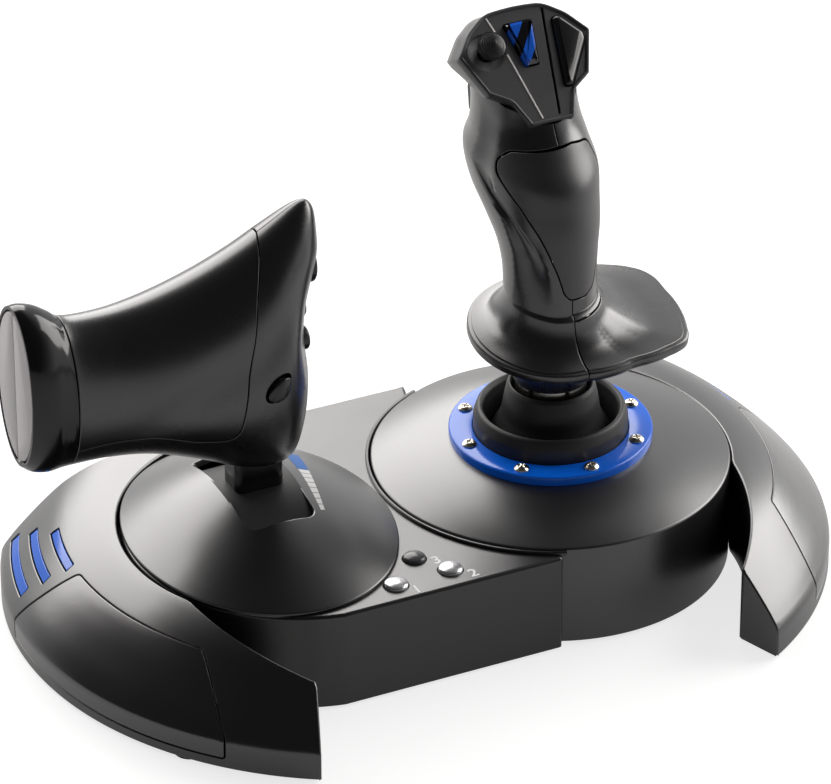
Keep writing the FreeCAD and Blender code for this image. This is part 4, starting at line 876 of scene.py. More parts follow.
handle_stations = np.array([
    (-212.0, 124.5, 17.0, 31.8), (-208.5, 123.2, 18.2, 33.2), (-203, 121.6, 18.6, 33.0),
    (-198, 120.1, 17.6, 31.2), (-194, 118.6, 17.0, 29.6), (-180, 117.6, 17.8, 28.9),
    (-163, 116.9, 20.0, 31.0), (-142, 115.5, 22.0, 37.9), (-126, 115.1, 22.5, 44.9),
    (-114, 117.4, 21.0, 49.2), (-104, 121.3, 16.2, 50.8), (-99.5, 124.6, 11.6, 48.6),
    (-97.2, 126.2, 8.2, 45.2), (-96.0, 127.2, 4.8, 41.2), (-95.4, 127.4, 0.4, 37.2)])
handle_line = curve_through(handle_stations, 12)
handle_run = np.concatenate(([0], np.cumsum(np.hypot(
    np.diff(handle_line[:, 0]), 0.7 * np.diff(handle_line[:, 2])))))
HANDLE_END = handle_run[-1]
AROUND = 32.0


def handle_u(x):
    # the distance along the handle's line at a place
    return float(np.interp(x, handle_line[:, 0], handle_run))


def soft(value):
    # eases from 0 to 1
    value = np.clip(value, 0, 1)
    return value * value * (3 - 2 * value)


def handle_surface(points):
    # (distance along, turn from the near side x AROUND) to a place on the handle
    x, rise, deep, high = (np.interp(points[:, 0], handle_run, handle_line[:, k])
                           for k in range(4))
    turn = points[:, 1] / AROUND
    height = rise + high * np.sin(turn)
    # the thumb end is hollowed at the height of its buttons, and the fin above leans out
    ending = soft((x + 116) / 20)
    hollow = 4.4 * soft((157 - height) / 22) + 2.4 * np.exp(-((height - 124) / 13) ** 2)
    x = x - hollow * ending
    # a soft valley runs from the thumb down across the near side
    deep = deep * (1 - 0.075 * np.exp(-((points[:, 1] - valley_at(x)) / 7.5) ** 2)
                   * soft((x + 178) / 34) * (np.cos(turn) > 0))
    return columns(x, -deep * np.cos(turn), height)


def valley_at(x):
    # where the valley runs, as a turn x AROUND
    return np.interp(x, (-168, -152, -140, -124.5, -114, -100),
                     np.radians((-14, -3, 5, 13, 22, 30)) * AROUND)


def sheet(places):
    # (x, turn in degrees, corner radius) corners in the handle's sheet
    return [(handle_u(x), math.radians(turn) * AROUND, *radius) for x, turn, *radius in places]


def end_notch(y, z, wide, tall_by):
    # where a round hole in the thumb end crosses the handle's sheet, near half then far half
    halves = ([], [])
    for a in np.linspace(0, math.tau, 40, endpoint=False):
        at_y, at_z = y + wide * math.cos(a), z + tall_by * math.sin(a)
        low, high = handle_u(-112), HANDLE_END
        for _ in range(40):
            middle = (low + high) / 2
            _, rise, deep, tall = (np.interp(middle, handle_run, handle_line[:, k])
                                   for k in range(4))
            if (at_y / deep) ** 2 + ((at_z - rise) / tall) ** 2 < 1:
                low = middle
            else:
                high = middle
        turn = math.atan2((at_z - rise) / tall, -at_y / deep)
        far = at_y > 0
        halves[far].append((min(middle, HANDLE_END - 0.02), (turn % math.tau if far else turn)
                            * AROUND))
    return [sorted(half, key=lambda p: p[1]) for half in halves]


# each thumb button's middle (y, z) and half sizes
THUMB = {"thumb_button_upper": (-1.0, 147.0, 5.0, 7.0),
         "thumb_button_middle": (-1.0, 130.5, 3.8, 3.8),
         "thumb_button_lower": (-2.0, 118.0, 4.6, 4.6)}
notches = {label: end_notch(y, z, half_y + 0.5, half_z + 0.5)
           for label, (y, z, half_y, half_z) in THUMB.items()}
near_edge = [p for label in ("thumb_button_lower", "thumb_button_middle", "thumb_button_upper")
             for p in notches[label][0]]
far_edge = [p for label in ("thumb_button_upper", "thumb_button_middle", "thumb_button_lower")
            for p in notches[label][1]]
SEAM, OVER = -194.4, 118  # where the end ring meets the shells; the panel's edge past the ridge
panel_edge = rounded(sheet([(-118.1, 90), (-120.8, 66), (-125.1, 43), (-127.9, 22), (-130.8, 5),
                            (-132.5, -12), (-134.6, -34, 9), (-150.7, -38), (-167.3, -33),
                            (-183.1, -35), (SEAM, -38)]))
panel_outline = np.vstack((panel_edge, sheet([(SEAM, 0), (SEAM, 45), (SEAM, 90), (SEAM, OVER),
                                              (-117.2, OVER)])))
satin_grip = moulded("satin_grip", (0.0065, 0.006, 0.0075), 0.28, grain_mm=0.35, depth=0.4,
                     coat=0.45, sheen=1.0)
gloss_ring = moulded("gloss_ring", (0.007, 0.007, 0.008), 0.13, grain_mm=2.0, depth=0.02,
                     drift=0.04)
disc_grey = moulded("disc_grey", (0.72, 0.70, 0.71), 0.4, grain_mm=0.3, depth=0.12)
piece("handle_panel", [skin(handle_surface, panel_outline, gap=0.22, lip=0.3, deep=1.4,
                            spacing=1.5)], satin_grip, "lever", "grip_black", "handle_rear_panel")
quarter = math.pi / 2 * AROUND
seam_x = handle_u(SEAM)
near_outline = ([(seam_x, -quarter), (HANDLE_END, -quarter)] + near_edge
                + [(HANDLE_END, quarter)] + [tuple(p) for p in panel_edge])


def rise_and_high(x):
    # the handle's middle height and half height at a place along it
    return [np.interp(x, handle_line[:, 0], handle_line[:, k]) for k in (1, 3)]


SIDE_BUTTON = (-119.7, 111.5)
side_rise, side_high = rise_and_high(SIDE_BUTTON[0])
side_turn = math.asin((SIDE_BUTTON[1] - side_rise) / side_high)
lean = math.radians(32)
side_oval = np.array([(handle_u(SIDE_BUTTON[0])
                       + 5.6 * math.cos(a) * math.cos(lean) - 4.1 * math.sin(a) * math.sin(lean),
                       side_turn * AROUND + (5.6 * math.cos(a) * math.sin(lean)
                                             + 4.1 * math.sin(a) * math.cos(lean)) * 0.72)
                      for a in np.linspace(0, math.tau, 48, endpoint=False)])
near_skin = skin(handle_surface, np.array([p[:2] for p in near_outline]), [side_oval],
                 gap=0.12, lip=0.3, deep=2.2, spacing=1.5, hole_lip=0.25)
# a land under the panel's seam, so that nothing is seen through the gap
along_edge = np.gradient(panel_edge, axis=0)
beside = columns(-along_edge[:, 1], along_edge[:, 0])
beside /= np.linalg.norm(beside, axis=1)[:, None]
seam_land = rows([sunk(handle_surface, 1.2)(panel_edge + beside * shift)
                  for shift in (-2.2, 2.2)], wrap=False)
piece("handle_near_half", [near_skin, seam_land], satin_grip, "lever", "grip_black",
      "handle_rear_shell")


def far_turn(x, z):
    # a height on the far side, as a place in the handle's sheet
    rise, high = rise_and_high(x)
    return (math.pi - math.asin((z - rise) / high)) * AROUND


ROCKER_X = -159
screw_holes = [oval((handle_u(x), far_turn(x, z)), 2.6, 2.4, 24)
               for x, z in ((-184, 112), (-148, 95), (-111, 148))]
rocker_hole = block(handle_u(-175.3), far_turn(ROCKER_X, 127.3), handle_u(-142.7),
                    far_turn(ROCKER_X, 104.7), 3)
far_outline = np.array(sheet([(SEAM, OVER), (-117.2, OVER), (-118.1, 90)])
                       + [(HANDLE_END, quarter)] + far_edge
                       + [(HANDLE_END, 3 * quarter), (seam_x, 3 * quarter)])
piece("handle_far_half", [skin(handle_surface, far_outline, screw_holes + [rocker_hole], gap=0.12,
                               lip=0.3, deep=1.4, spacing=1.7)], satin_grip, "lever", "grip_black",
      "handle_front_shell")
# the gloss ring: the handle's own line from the disc to the seam, with a rolled edge each end
ring_rows = [handle_surface(columns(u, np.linspace(0, math.tau * AROUND, 160, endpoint=False)))
             for u in np.linspace(handle_u(-211.9), handle_u(SEAM - 0.3), 40)]


def shrunk(ring, share, x):
    # an end row drawn in toward its middle, upright at x
    middle = ring.mean(0)
    ring = middle + (ring - middle) * share
    return columns(x, ring[:, 1], ring[:, 2])


ring_rows = ([shrunk(ring_rows[0], 0.94, -209.4), shrunk(ring_rows[0], 0.945, -211.3),
              shrunk(ring_rows[0], 0.96, -211.85), shrunk(ring_rows[0], 0.985, -211.98)]
             + ring_rows + [shrunk(ring_rows[-1], 0.985, SEAM - 0.1),
                            shrunk(ring_rows[-1], 0.93, SEAM - 0.1)])
piece("handle_end_gloss", [rows(ring_rows)], gloss_ring, "lever", "gloss_black", "handle_end_ring")


def disc_half(side):
    # half of the end disc, its flat edge along the upright seam
    turns = np.linspace(-90, 90, 60)
    path = [(0.16 if abs(t) == 90 else 15.5 * math.cos(math.radians(t)) + 0.16,
             29.6 * math.sin(math.radians(t))) for t in turns]
    loop = running(spaced(np.array([(side * y, z) for y, z in path]), 1.0))
    levels = [(0.0, -208.6), (0.0, -211.3), (0.12, -211.7), (0.45, -211.85)]
    rings = []
    for inset, x in levels:
        edge = loop - away_from(loop) * inset
        rings.append(columns(x, edge[:, 0], edge[:, 1] + 124.5))
    return rows(rings, last=True, first=True)


piece("end_disc_halves", [disc_half(-1), disc_half(1)], disc_grey, "lever", "frame_grey",
      "handle_end_disc")

# ---------------------------------------------------------------- handle's controls
# Three domed thumb buttons, a leaning oval side button and a rocker on the far side, each set
# in its own opening.

button_gloss = moulded("button_gloss", (0.02, 0.02, 0.022), 0.2, grain_mm=1.0, depth=0.04)


def thumb_button(label, y, z, half_y, half_z):
    # a domed button out of the thumb end, its flank running into the handle
    face_x = float(np.max(handle_surface(np.array([(HANDLE_END - 0.3, math.asin(np.clip(
        (z - 129.6) / 36, -1, 1)) * AROUND)]))[:, 0]))
    rings = []
    for share, x in [(1.0, face_x - 6.0), (1.0, face_x + 0.3), (0.97, face_x + 0.7),
                     (0.88, face_x + 1.1), (0.7, face_x + 1.45), (0.45, face_x + 1.7),
                     (0.2, face_x + 1.8), (0.03, face_x + 1.82)]:
        turn = np.linspace(0, math.tau, 48, endpoint=False)
        rings.append(columns(x, y + half_y * share * np.cos(turn),
                             z + half_z * share * np.sin(turn)))
    return rows(rings, last=True)


for label, (y, z, half_y, half_z) in THUMB.items():
    piece(label + "_cap", [thumb_button(label, y, z, half_y, half_z)], button_gloss, label,
          "button_dark", label)


def raised(surface, height, middle, reach):
    # a surface lifted into a low dome about its middle
    def lifted(points):
        away = np.linalg.norm(points - middle, axis=1) / reach
        return surface(points) + facing(surface, points) * (height * (1 - away ** 2))[:, None]
    return lifted


side_middle = side_oval.mean(0)
piece("side_button_cap", [skin(raised(handle_surface, 2.6, side_middle, 6.0), side_oval, gap=0.3,
                               lip=0.45, deep=3.2, spacing=0.7)], button_gloss, "side_button",
      "button_dark", "side_button")


def rocker_surface(points):
    # the rocker's pad, hollowed across its middle and bowed up and down
    x = points[:, 0]
    return columns(x, 23.9 - 2.4 * np.exp(-((x - ROCKER_X) / 5.0) ** 2)
                   - 0.006 * (points[:, 1] - 116) ** 2, points[:, 1])


rocker_outline = block(-174.4, 105.7, -143.6, 126.3, 2.6)
piece("rocker_pad", [skin(rocker_surface, rocker_outline, gap=0.1, lip=0.8, deep=7, spacing=1.2)],
      button_gloss, "rocker", "button_dark", "rocker")

# ---------------------------------------------------------------- grip
# Two half shells meet on the middle of the stick, the left one running down into the flange.
# A matt palm panel is let in across both, the hand rest is a piece of its own, and the trigger
# moves in an opening behind.

FLANGE_Z, FLANGE_TILT = 97.2, math.radians(8.5)
FACE_Y, FACE_Z, FACE_SLOPE = 35.8, 210.4, 0.866
GRIP_ROUND, JOIN = 18.0, 111.5
grip_stations = np.array([
    (88, 0.3, 16.4, 16.8), (92, 0.5, 16.8, 17.4), (102, 1.4, 17.0, 18.2), (112, 2.0, 17.0, 18.4),
    (122, 2.8, 17.0, 19.4), (131, 5.0, 17.8, 22.2), (140, 9.6, 19.6, 27.2),
    (150, 16.4, 21.5, 32.5), (160, 19.4, 22.2, 33.2), (169, 21.0, 20.2, 27.6),
    (178, 24.0, 18.6, 24.4), (190, 27.0, 18.4, 23.0), (204, 29.0, 18.0, 21.0)])
grip_line = curve_through(grip_stations, 8)


def grip_plain(turn, height):
    # the grip without its channel, at a turn from the front and a height
    shift, across, deep = (np.interp(height, grip_line[:, 0], grip_line[:, k]) for k in (1, 2, 3))
    return columns(across * np.sin(turn), shift - deep * np.cos(turn), height)


def scoop(turn, height):
    # the depth of the thumb channel between its two creases on the left of the grip
    outer = np.radians(np.interp(height, (104, 119, 134, 145, 151, 160, 178),
                                 (-88, -79, -72, -72, -80, -97, -88)))
    inner = np.radians(np.interp(height, (104, 116, 119.5, 130, 136.7, 144, 149.6, 153, 166, 178),
                                 (-21, -21, -24, -32, -41, -53, -64, -71, -66, -58)))
    share = (turn - (outer + inner) / 2) / ((inner - outer) / 2)
    depth = np.interp(height, (100, 112, 130, 146, 160, 178, 184), (0, 0.7, 2.3, 2.0, 1.3, 0.5, 0))
    return depth * np.clip(1 - share ** 2, 0, 1) ** 1.5


FLARE = np.array([(14.3, 0), (11.4, 0.045), (8.8, 0.11), (6.6, 0.19), (4.8, 0.28), (3.2, 0.385),
                  (2.0, 0.5), (1.1, 0.63), (0.5, 0.8), (0.1, 1)])
flare_line = curve_through(FLARE, 6)
flare_run = np.concatenate(([0], np.cumsum(np.hypot(np.diff(flare_line[:, 0]),
                                                    18 * np.diff(flare_line[:, 1])))))
FLARE_FOOT = JOIN - flare_run[-1]
rest_half = rounded([(0, -31.3), (20, -30.6, 40), (37.5, -28.2, 20), (43.2, -26.0, 6),
                     (46.2, -21.5, 7), (49.5, 6.0, 12), (49.2, 12.5, 12), (46.6, 18.0, 12),
                     (41.5, 22.5, 14), (33, 26.8, 20), (18, 30.2, 40), (0, 31.3)], step=0.04)
rest_turn = np.arctan2(rest_half[:, 0], -rest_half[:, 1])
rest_far = np.linalg.norm(rest_half, axis=1)


def reach(turn):
    # how far the flange and hand rest go, by the turn from the front toward the right
    turn = (turn + math.pi) % math.tau - math.pi
    return np.where(turn < 0, 31.3, np.interp(turn, rest_turn, rest_far))


def on_flange(x, y, rise):
    # places on the tilted flange, and a rise off it
    cos, sin = math.cos(FLANGE_TILT), math.sin(FLANGE_TILT)
    return columns(x, y * cos - rise * sin, FLANGE_Z + y * sin + rise * cos)


def grip_surface(points):
    # (turn x GRIP_ROUND, height): the grip above JOIN, and the flare's profile below it
    turn, height = points[:, 0] / GRIP_ROUND, points[:, 1]
    upper = np.maximum(height, JOIN)
    lean = 0.15 * grip_plain(turn, JOIN)[:, 1] * (1 - soft((upper - JOIN) / 18))
    body = grip_plain(turn, upper + lean)
    out = columns(np.sin(turn), -np.cos(turn), 0.0)
    body -= out * scoop(turn, upper)[:, None]
    down = np.clip(JOIN - height, 0, flare_run[-1])
    share = np.interp(down, flare_run, flare_line[:, 1])
    rise = np.interp(down, flare_run, flare_line[:, 0])
    edge = reach(turn) - 1.6
    start_x, start_y = body[:, 0], body[:, 1]
    x = start_x + (edge * np.sin(turn) - start_x) * share
    y = start_y + (-edge * np.cos(turn) - start_y) * share
    flare = on_flange(x, y, rise)
    blend = soft((JOIN - height) / 1.6)[:, None]
    return np.where(height[:, None] >= JOIN, body, body * (1 - blend) + flare * blend)


def grip_sheet(places):
    # (turn in degrees, height, corner radius) corners in the grip's sheet
    return [(math.radians(turn) * GRIP_ROUND, height, *radius) for turn, height, *radius in places]


HALF = math.pi * GRIP_ROUND
palm_left = [(-32, 171.6), (-52, 170.6, 5), (-67, 166.2, 6), (-66.5, 162, 6), (-48, 151.8),
             (-37, 143), (-26, 131.8), (-12, 120.1), (-5, 117.2, 4)]
palm_right = [(19, 116.9), (37, 118.6, 6), (46, 125.5, 6), (47.5, 136), (50, 150), (52, 163),
              (47, 170.3, 5), (17, 172.7)]
palm_outline = rounded(grip_sheet(palm_left + palm_right), closed=True)
palm_black = moulded("palm_black", (0.030, 0.029, 0.031), 0.42, grain_mm=0.5, depth=0.8,
                     coat=0.2, sheen=0.9)
piece("palm_grip", [skin(grip_surface, palm_outline, gap=0.22, lip=0.35, deep=1.4, spacing=1.3)],
      palm_black, "grip", "palm_black", "palm_panel")


def shell_top(turn):
    # the shells end under the head, just below the faceplate's plane at the front
    turn = np.abs(turn)
    y = grip_plain(turn, 184.0)[:, 1]
    under = 1.0 + 3.6 * soft((turn - math.radians(35)) / math.radians(25))
    plane = FACE_Z + (y - FACE_Y) * FACE_SLOPE
    return np.minimum(np.maximum(185 + 0.22 * y, plane - 20), plane - under)


def palm_edge(side):
    # the palm panel's own edge on one side of the middle, from its foot up
    edge = palm_outline[palm_outline[:, 0] * side > 0.02]
    return edge[np.argsort(np.unwrap(np.arctan2(edge[:, 1] - 145, edge[:, 0] * side + 1e-6)))]


# half of the opening the trigger moves in, from the back of the grip
TRIGGER_NOTCH = ((0, 155.4), (5.6, 155.4), (6.8, 156.2), (7.2, 157.6), (7.2, 186), (6.8, 187.4),
                 (5.6, 188.2), (0, 188.2))


def shell_outline(side, low):
    # one shell's outline, with the palm panel cut out of it at the middle
    down = [(0.0, 172.8)] + [tuple(p) for p in palm_edge(side)[::-1]] + [(0.0, 117.0)]
    turns = np.linspace(math.pi, 0, 50)
    top = [(side * turn * GRIP_ROUND, height) for turn, height in zip(turns, shell_top(turns))]
    foot = [(side * HALF * k / 40, low) for k in range(1, 41)]
    notch = [(side * (HALF - back), z) for back, z in TRIGGER_NOTCH]
    return np.array(down + [(0.0, low)] + foot + notch + top)


for label, side, low in (("left", -1, FLARE_FOOT), ("right", 1, 109.9)):
    piece(f"grip_{label}_half", [skin(grip_surface, shell_outline(side, low), gap=0.14, lip=0.3,
                                      deep=1.4, spacing=1.3)], satin_grip, "grip", "grip_black",
          f"grip_{label}_shell")
# a dark well behind the trigger closes the opening
well = [(HALF - back, z) for back, z in TRIGGER_NOTCH]
well = spaced(np.array(well + [(HALF + back, z) for back, z in TRIGGER_NOTCH[-2:0:-1]]), 0.8)
well_edge = grip_surface(well) - facing(grip_surface, well) * 0.5
well_floor = well_edge.copy()
well_floor[:, 1] = 34.5
piece("trigger_well", [rows([well_edge, well_floor], last=True)], satin_grip, "grip", "grip_black",
      "grip_left_shell")
rest_top = np.array([(HALF * k / 60, FLARE_FOOT) for k in range(61)]
                    + [(HALF * k / 60, 109.7) for k in range(60, -1, -1)])
flange_rim = [(-0.35, 2.4), (-0.45, 1.0), (-0.6, 0.45), (-1.0, 0.12), (-1.6, 0), (-3.4, 0),
              (-4.1, 0.25), (-4.5, 0.9), (-4.6, 1.8)]


def rim_band(first, last):
    # the upright band under the flare's edge, with the flange's flat underside
    turn = np.linspace(first, last, 120)
    rings = []
    for rise, inset in flange_rim:
        far = reach(turn) - inset
        rings.append(on_flange(far * np.sin(turn), -far * np.cos(turn), rise))
    for share in (0.7, 0.4, 0.1):
        far = 15.6 + (reach(turn) - 1.8 - 15.6) * share
        rings.append(on_flange(far * np.sin(turn), -far * np.cos(turn), -4.6))
    return rows(rings, wrap=False)


piece("rest_top", [skin(grip_surface, rest_top, gap=0.14, lip=0.3, deep=1.0, spacing=1.1),
                   rim_band(0.008, math.pi - 0.008)], satin_grip, "grip", "grip_black",
      "hand_rest")
piece("flange_band", [rim_band(-math.pi + 0.008, -0.008)], satin_grip, "grip", "grip_black",
      "grip_left_shell")


def neck_half(side):
    # the dark neck under the flange, half a turn of it
    turn = np.linspace(0.02, math.pi - 0.02, 60) * side
    rings = []
    for height, radius in ((74.9, 12.9), (74.9, 13.8), (75.3, 14.3), (78, 14.9), (82, 15.8),
                           (86, 16.3), (94, 16.6)):
        rings.append(columns(radius * np.sin(turn), -radius * np.cos(turn), height))
    return rows(rings, wrap=False)


piece("grip_neck", [neck_half(-1), neck_half(1)], satin_grip, "grip", "grip_black",
      "grip_left_shell")

# ---------------------------------------------------------------- head
# A matt faceplate with a raised rim sits on a slimmer housing.  It carries a silver line, a
# groove, the hat switch in its recess, a striped gem of a button and a long teardrop one.

FACE_TILT = math.radians(40.9)
FACE_RIGHT = np.array((1.0, 0, 0))
FACE_DOWN = np.array((0, -math.cos(FACE_TILT), -math.sin(FACE_TILT)))
FACE_OUT = np.array((0, -math.sin(FACE_TILT), math.cos(FACE_TILT)))
FACE_AT = np.array((0, FACE_Y, FACE_Z))


def on_face(x, down, out):
    # places across and down the faceplate, and a height over it
    x, down, out = np.broadcast_arrays(np.asarray(x, float), down, out)
    return (FACE_AT + x[..., None] * FACE_RIGHT + down[..., None] * FACE_DOWN
            + out[..., None] * FACE_OUT)


def face_rows(loop, levels):
    # rows for a loop drawn on the faceplate: (inset, height) levels, set in along its normals
    rings = []
    for inset, out in levels:
        ring = loop - away_from(loop) * inset
        rings.append(on_face(ring[:, 0], -ring[:, 1], out))
    return rings


def face_round(centre, path, count):
    # rows turned about an axis through the faceplate, from (radius, height) points
    rings = []
    for radius, out in path:
        ring = oval(centre, radius, radius, count)
        rings.append(on_face(ring[:, 0], -ring[:, 1], out))
    return rings


def face_sheet(out):
    # the faceplate's plane at a height; mirrored in its first axis so it faces outward
    return lambda points: on_face(points[:, 0], -points[:, 1], out)


face_corners = [(0, 0.8, 60), (11.6, 0.0, 12), (19.6, -5.8, 12), (26.4, -14.2, 1.6),
                (20.2, -30.4, 1.6), (12.7, -35.2, 5), (8.6, -45.6, 1.2)]
face_corners = face_corners + [(-x, y, r) for x, y, r in reversed(face_corners[1:])]
face_outline = rounded(face_corners, closed=True, step=0.15)
gem_outline = rounded([(-6.1, -5.4, 0.9), (6.1, -5.4, 0.9), (2.9, -23.3, 0.9), (-2.9, -23.3, 0.9)],
                      closed=True)
tear_outline = rounded([(13.4, -6.2, 2.6), (16.9, -6.4, 2.6), (23.6, -14.4, 2.2),
                        (23.4, -18.0, 2.4), (12.6, -34.0, 1.9), (8.9, -34.0, 1.9)], closed=True)
HAT = (-15.2, -14.5)
hat_hollow = oval(HAT, 7.2, 7.2, 64)
face_matt = moulded("face_matt", (0.042, 0.041, 0.045), 0.48, grain_mm=0.4, depth=0.7)
rim_loop = running(spaced(face_outline, 0.8))
face_inner = rim_loop - away_from(rim_loop) * 1.5
rim_rows = face_rows(rim_loop, ((0.5, -3.4), (0.0, -3.0), (0.0, 0.2), (0.15, 0.55), (0.45, 0.7),
                                (0.85, 0.66), (1.25, 0.35), (1.5, 0.0)))
groove = np.array([(11.0, -1.9), (12.0, -1.9), (4.1, -43.2), (3.15, -43.2)])
plate_skin = skin(face_sheet(0.0), face_inner, [gem_outline, tear_outline, hat_hollow, groove],
                  gap=0, lip=0.05, deep=1.0, spacing=1.5, hole_lip=0.2)
hollow_rows = face_round(HAT, ((7.2, -0.1), (7.0, -0.8), (6.6, -1.0), (3.5, -1.0),
                               (3.4, -3.0)), 64)
piece("face_skin", [plate_skin, rows(rim_rows), rows(hollow_rows)], face_matt, "grip",
      "face_black", "head_faceplate")

silver = moulded("silver_line", (0.72, 0.70, 0.68), 0.25, grain_mm=1.0, depth=0.05)


def face_strip(top, foot, half, out):
    # a thin raised bar on the faceplate from one place to another
    ends = [np.array(top, float), np.array(foot, float)]
    side = np.array((ends[1][1] - ends[0][1], ends[0][0] - ends[1][0]))
    side /= np.linalg.norm(side)
    bars = []
    for width, height in ((half, 0.0), (half, out * 0.7), (half * 0.6, out)):
        line = [ends[0] - side * width, ends[1] - side * width, ends[1] + side * width,
                ends[0] + side * width]
        bars.append([on_face(p[0], -p[1], height) for p in line])
    return rows(bars, last=True)


line_parts = [face_strip(top, foot, 0.34, 0.22)
              for top, foot in (((-11.2, -1.0), (-9.5, -7.6)), ((-7.9, -16.9), (-3.3, -43.6)))]
piece("silver_line_pair", line_parts, silver, "grip", "button_silver")

# the housing: the plate's outline set in, its walls running back under it
housing_rows = []
for inset, out in ((1.9, -2.4), (0.9, -2.9), (0.45, -3.3), (0.3, -5.0), (0.3, -9.0), (0.5, -12.5),
                   (1.4, -14.6), (3.6, -16.4)):
    loop = rim_loop - away_from(rim_loop) * inset
    share = np.clip((-loop[:, 1] - 16) / 20, 0, 1)
    low = np.where(share > 0, np.maximum(out, -13 + 10.5 * share), out)
    housing_rows.append(on_face(loop[:, 0], -loop[:, 1] + 0.38 * (low + 2.4), low))
satin_head = moulded("satin_head", (0.0075, 0.007, 0.0085), 0.3, grain_mm=0.35, depth=0.35,
                     coat=0.6, sheen=1.0)
piece("head_walls", [rows(housing_rows, last=True)], satin_head, "grip", "grip_black",
      "head_housing")

# ---------------------------------------------------------------- head's controls
# The hat is a stack of fine rings; the gem is cut with bevelled facets over diagonal stripes.

hat_path = [(0.02, 9.4), (0.5, 9.36)]
for k in range(7):
    ring_radius, ring_out = 0.5 + 0.7 * k, 9.36 - 0.30 * k - 0.028 * k * k
    hat_path += [(ring_radius + 0.12, ring_out + 0.24), (ring_radius + 0.34, ring_out + 0.18),
                 (ring_radius + 0.50, ring_out - 0.26), (ring_radius + 0.7, ring_out - 0.34)]
hat_path += [(5.45, 6.4), (5.5, 5.7), (5.3, 5.0), (3.0, 4.4), (2.1, 3.0), (2.1, 0.2), (1.7, -6.2)]
hat_black = moulded("hat_black", (0.03, 0.03, 0.032), 0.26, grain_mm=0.8, depth=0.06)
piece("hat_button", [rows(face_round(HAT, hat_path, 96), first=True)], hat_black, "hat_cap",
      "button_dark", "hat_cap")


def gem(outline, levels):
    # a button standing through the faceplate, closed on top
    return rows(face_rows(running(spaced(outline, 0.6)), levels), last=True)


# stripes run across the gem in its own plane, sharp-edged
STRIPE_PITCH, STRIPE_DARK = 7.4, 0.48
gem_glass, tree, shader = new_finish("gem_stripes", Roughness=0.05, Coat_Weight=1.0)
where = node_in(tree, "ShaderNodeTexCoord")
stripe_way = unit(np.array([FACE_RIGHT * 0.80 + FACE_DOWN * 0.60]))[0]
along = node_in(tree, "ShaderNodeVectorMath", "DOT_PRODUCT", {
    0: where.outputs["Object"], 1: tuple(stripe_way * 1000 / STRIPE_PITCH)})
turns = node_in(tree, "ShaderNodeMath", "FRACT", {0: along.outputs["Value"]})
edge = node_in(tree, "ShaderNodeMath", "GREATER_THAN", {0: turns, 1: STRIPE_DARK})
colours = node_in(tree, "ShaderNodeMix", data_type="RGBA", inputs={
    "A": (0.003, 0.003, 0.005, 1), "B": (0.01, 0.11, 0.62, 1), "Factor": edge})
tree.links.new(colours.outputs["Result"], shader.inputs["Base Color"])
gem_levels = ((0.45, -3.6), (0.4, 0.2), (0.5, 0.8), (1.9, 2.1))
fit(object_from("striped_gem", [gem(gem_outline, gem_levels)], gem_glass, crease=15),
    "stripe_button", "stripe_gloss", "stripe_button")
tear_gloss = moulded("tear_gloss", (0.009, 0.009, 0.010), 0.12, grain_mm=1.5, depth=0.02,
                     drift=0.03)
tear_levels = ((0.4, -1.1), (0.35, 0.5), (0.5, 0.95), (0.9, 1.4), (1.6, 1.85), (2.2, 2.1))
piece("teardrop_cap", [gem(tear_outline, tear_levels)], tear_gloss, "teardrop_button",
      "button_dark", "teardrop_button")

# ---------------------------------------------------------------- CAD pieces that stay in view
# Covers, feet, screws, boards, springs and shafts keep their own meshes.  Each slot gets a
# finish here, with brushed and cast surfaces alongside the moulded ones.

# worn metal: fine brushed streaks in its roughness, with darker specks in its colour
tree, given, result = new_group(
    "worn_metal", [("Streak mm", 0.4), ("Roughness", 0.3), ("Spread", 0.2), ("Speck", 0.1)],
    [("Roughness", "NodeSocketFloat"), ("Speck", "NodeSocketFloat"), ("Height", "NodeSocketFloat")])
where = node_in(tree, "ShaderNodeTexCoord").outputs["Object"]
squeeze = node_in(tree, "ShaderNodeVectorMath", "MULTIPLY", {0: where, 1: (1, 1, 14)})
pitch = node_in(tree, "ShaderNodeMath", "DIVIDE", {0: 1000, 1: given.outputs["Streak mm"]})
streaks = node_in(tree, "ShaderNodeTexNoise", inputs={"Vector": squeeze, "Scale": pitch,
                                                      "Detail": 3})
spread = node_in(tree, "ShaderNodeMath", "MULTIPLY_ADD", {0: streaks, 1: given.outputs["Spread"],
                                                          2: given.outputs["Roughness"]})
specks = node_in(tree, "ShaderNodeTexNoise", inputs={"Vector": where, "Scale": 220, "Detail": 5})
marked = node_in(tree, "ShaderNodeMath", "MULTIPLY", {0: specks, 1: given.outputs["Speck"]})
tree.links.new(spread.outputs["Value"], result.inputs["Roughness"])
tree.links.new(marked.outputs["Value"], result.inputs["Speck"])
tree.links.new(streaks.outputs["Fac"], result.inputs["Height"])


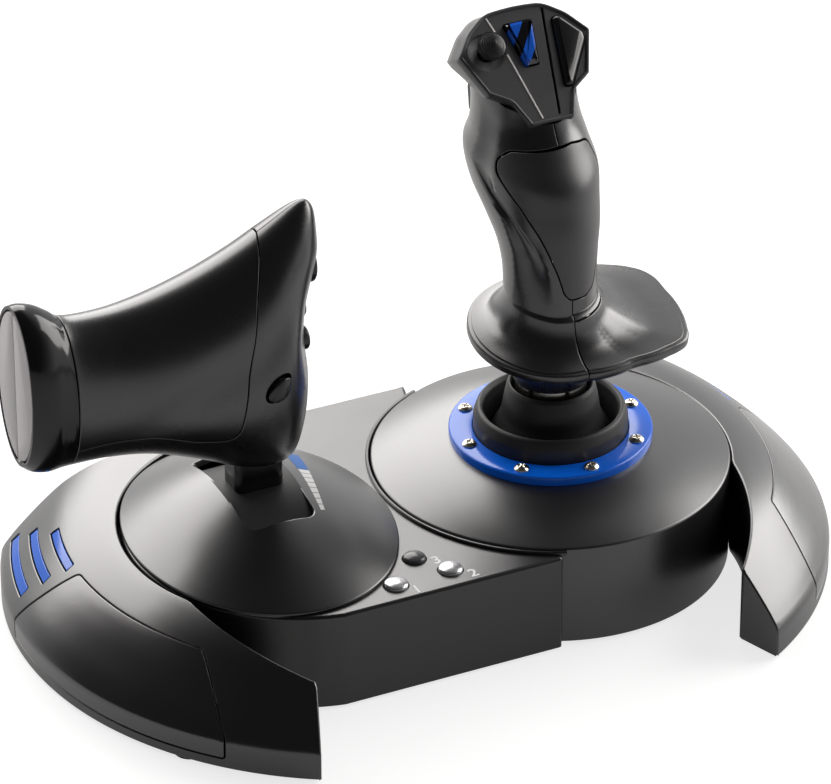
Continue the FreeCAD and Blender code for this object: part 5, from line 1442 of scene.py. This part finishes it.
def worn(name, colour, mark, roughness, streak_mm=0.4, spread=0.2, speck=0.5, metal=1.0,
         bump_mm=0.02):
    # a metal or painted surface with streaks in its gloss and specks of a second colour
    made, tree, shader = new_finish(name, Metallic=metal)
    surface = group_node(tree, "worn_metal", Streak_mm=streak_mm, Roughness=roughness,
                         Spread=spread, Speck=speck)
    colours = node_in(tree, "ShaderNodeMix", data_type="RGBA", inputs={
        "A": (*colour, 1), "B": (*mark, 1), "Factor": surface.outputs["Speck"]})
    ridge = node_in(tree, "ShaderNodeBump", inputs={"Distance": bump_mm / 1000, "Strength": 0.4,
                                                    "Height": surface.outputs["Height"]})
    tree.links.new(colours.outputs["Result"], shader.inputs["Base Color"])
    tree.links.new(surface.outputs["Roughness"], shader.inputs["Roughness"])
    tree.links.new(ridge.outputs["Normal"], shader.inputs["Normal"])
    return made


cad_finish = {
    "case_black": satin_case,
    "grip_black": satin_grip,
    "gloss_black": gloss_ring,
    "screw_zinc": zinc,
    "foot_rubber": moulded("foot_rubber", (0.022, 0.022, 0.023), 0.7, grain_mm=0.5, depth=0.8),
    "boot_rubber": moulded("gland_rubber", (0.014, 0.014, 0.015), 0.6, grain_mm=0.4, depth=0.6),
    "frame_grey": moulded("frame_grey", (0.16, 0.16, 0.17), 0.45, grain_mm=0.3, depth=0.3),
    "board_green": worn("board_green", (0.012, 0.11, 0.045), (0.03, 0.19, 0.08), 0.28,
                        streak_mm=1.2, spread=0.1, speck=0.9, metal=0.0),
    "spring_steel": worn("spring_steel", (0.62, 0.60, 0.56), (0.34, 0.31, 0.28), 0.16),
    "shaft_metal": worn("shaft_metal", (0.60, 0.59, 0.57), (0.38, 0.36, 0.34), 0.18),
    "ballast_iron": worn("ballast_iron", (0.17, 0.16, 0.155), (0.11, 0.07, 0.05), 0.5,
                         streak_mm=1.5, speck=0.8, bump_mm=0.08)}
for part in frame["record"]["subparts"]:
    node = frame["nodes"].get(part["node"])
    finish = cad_finish.get(part["material_slot"])
    if node is None or finish is None or node.hide_render:
        continue
    node.data.materials.clear()
    node.data.materials.append(finish)
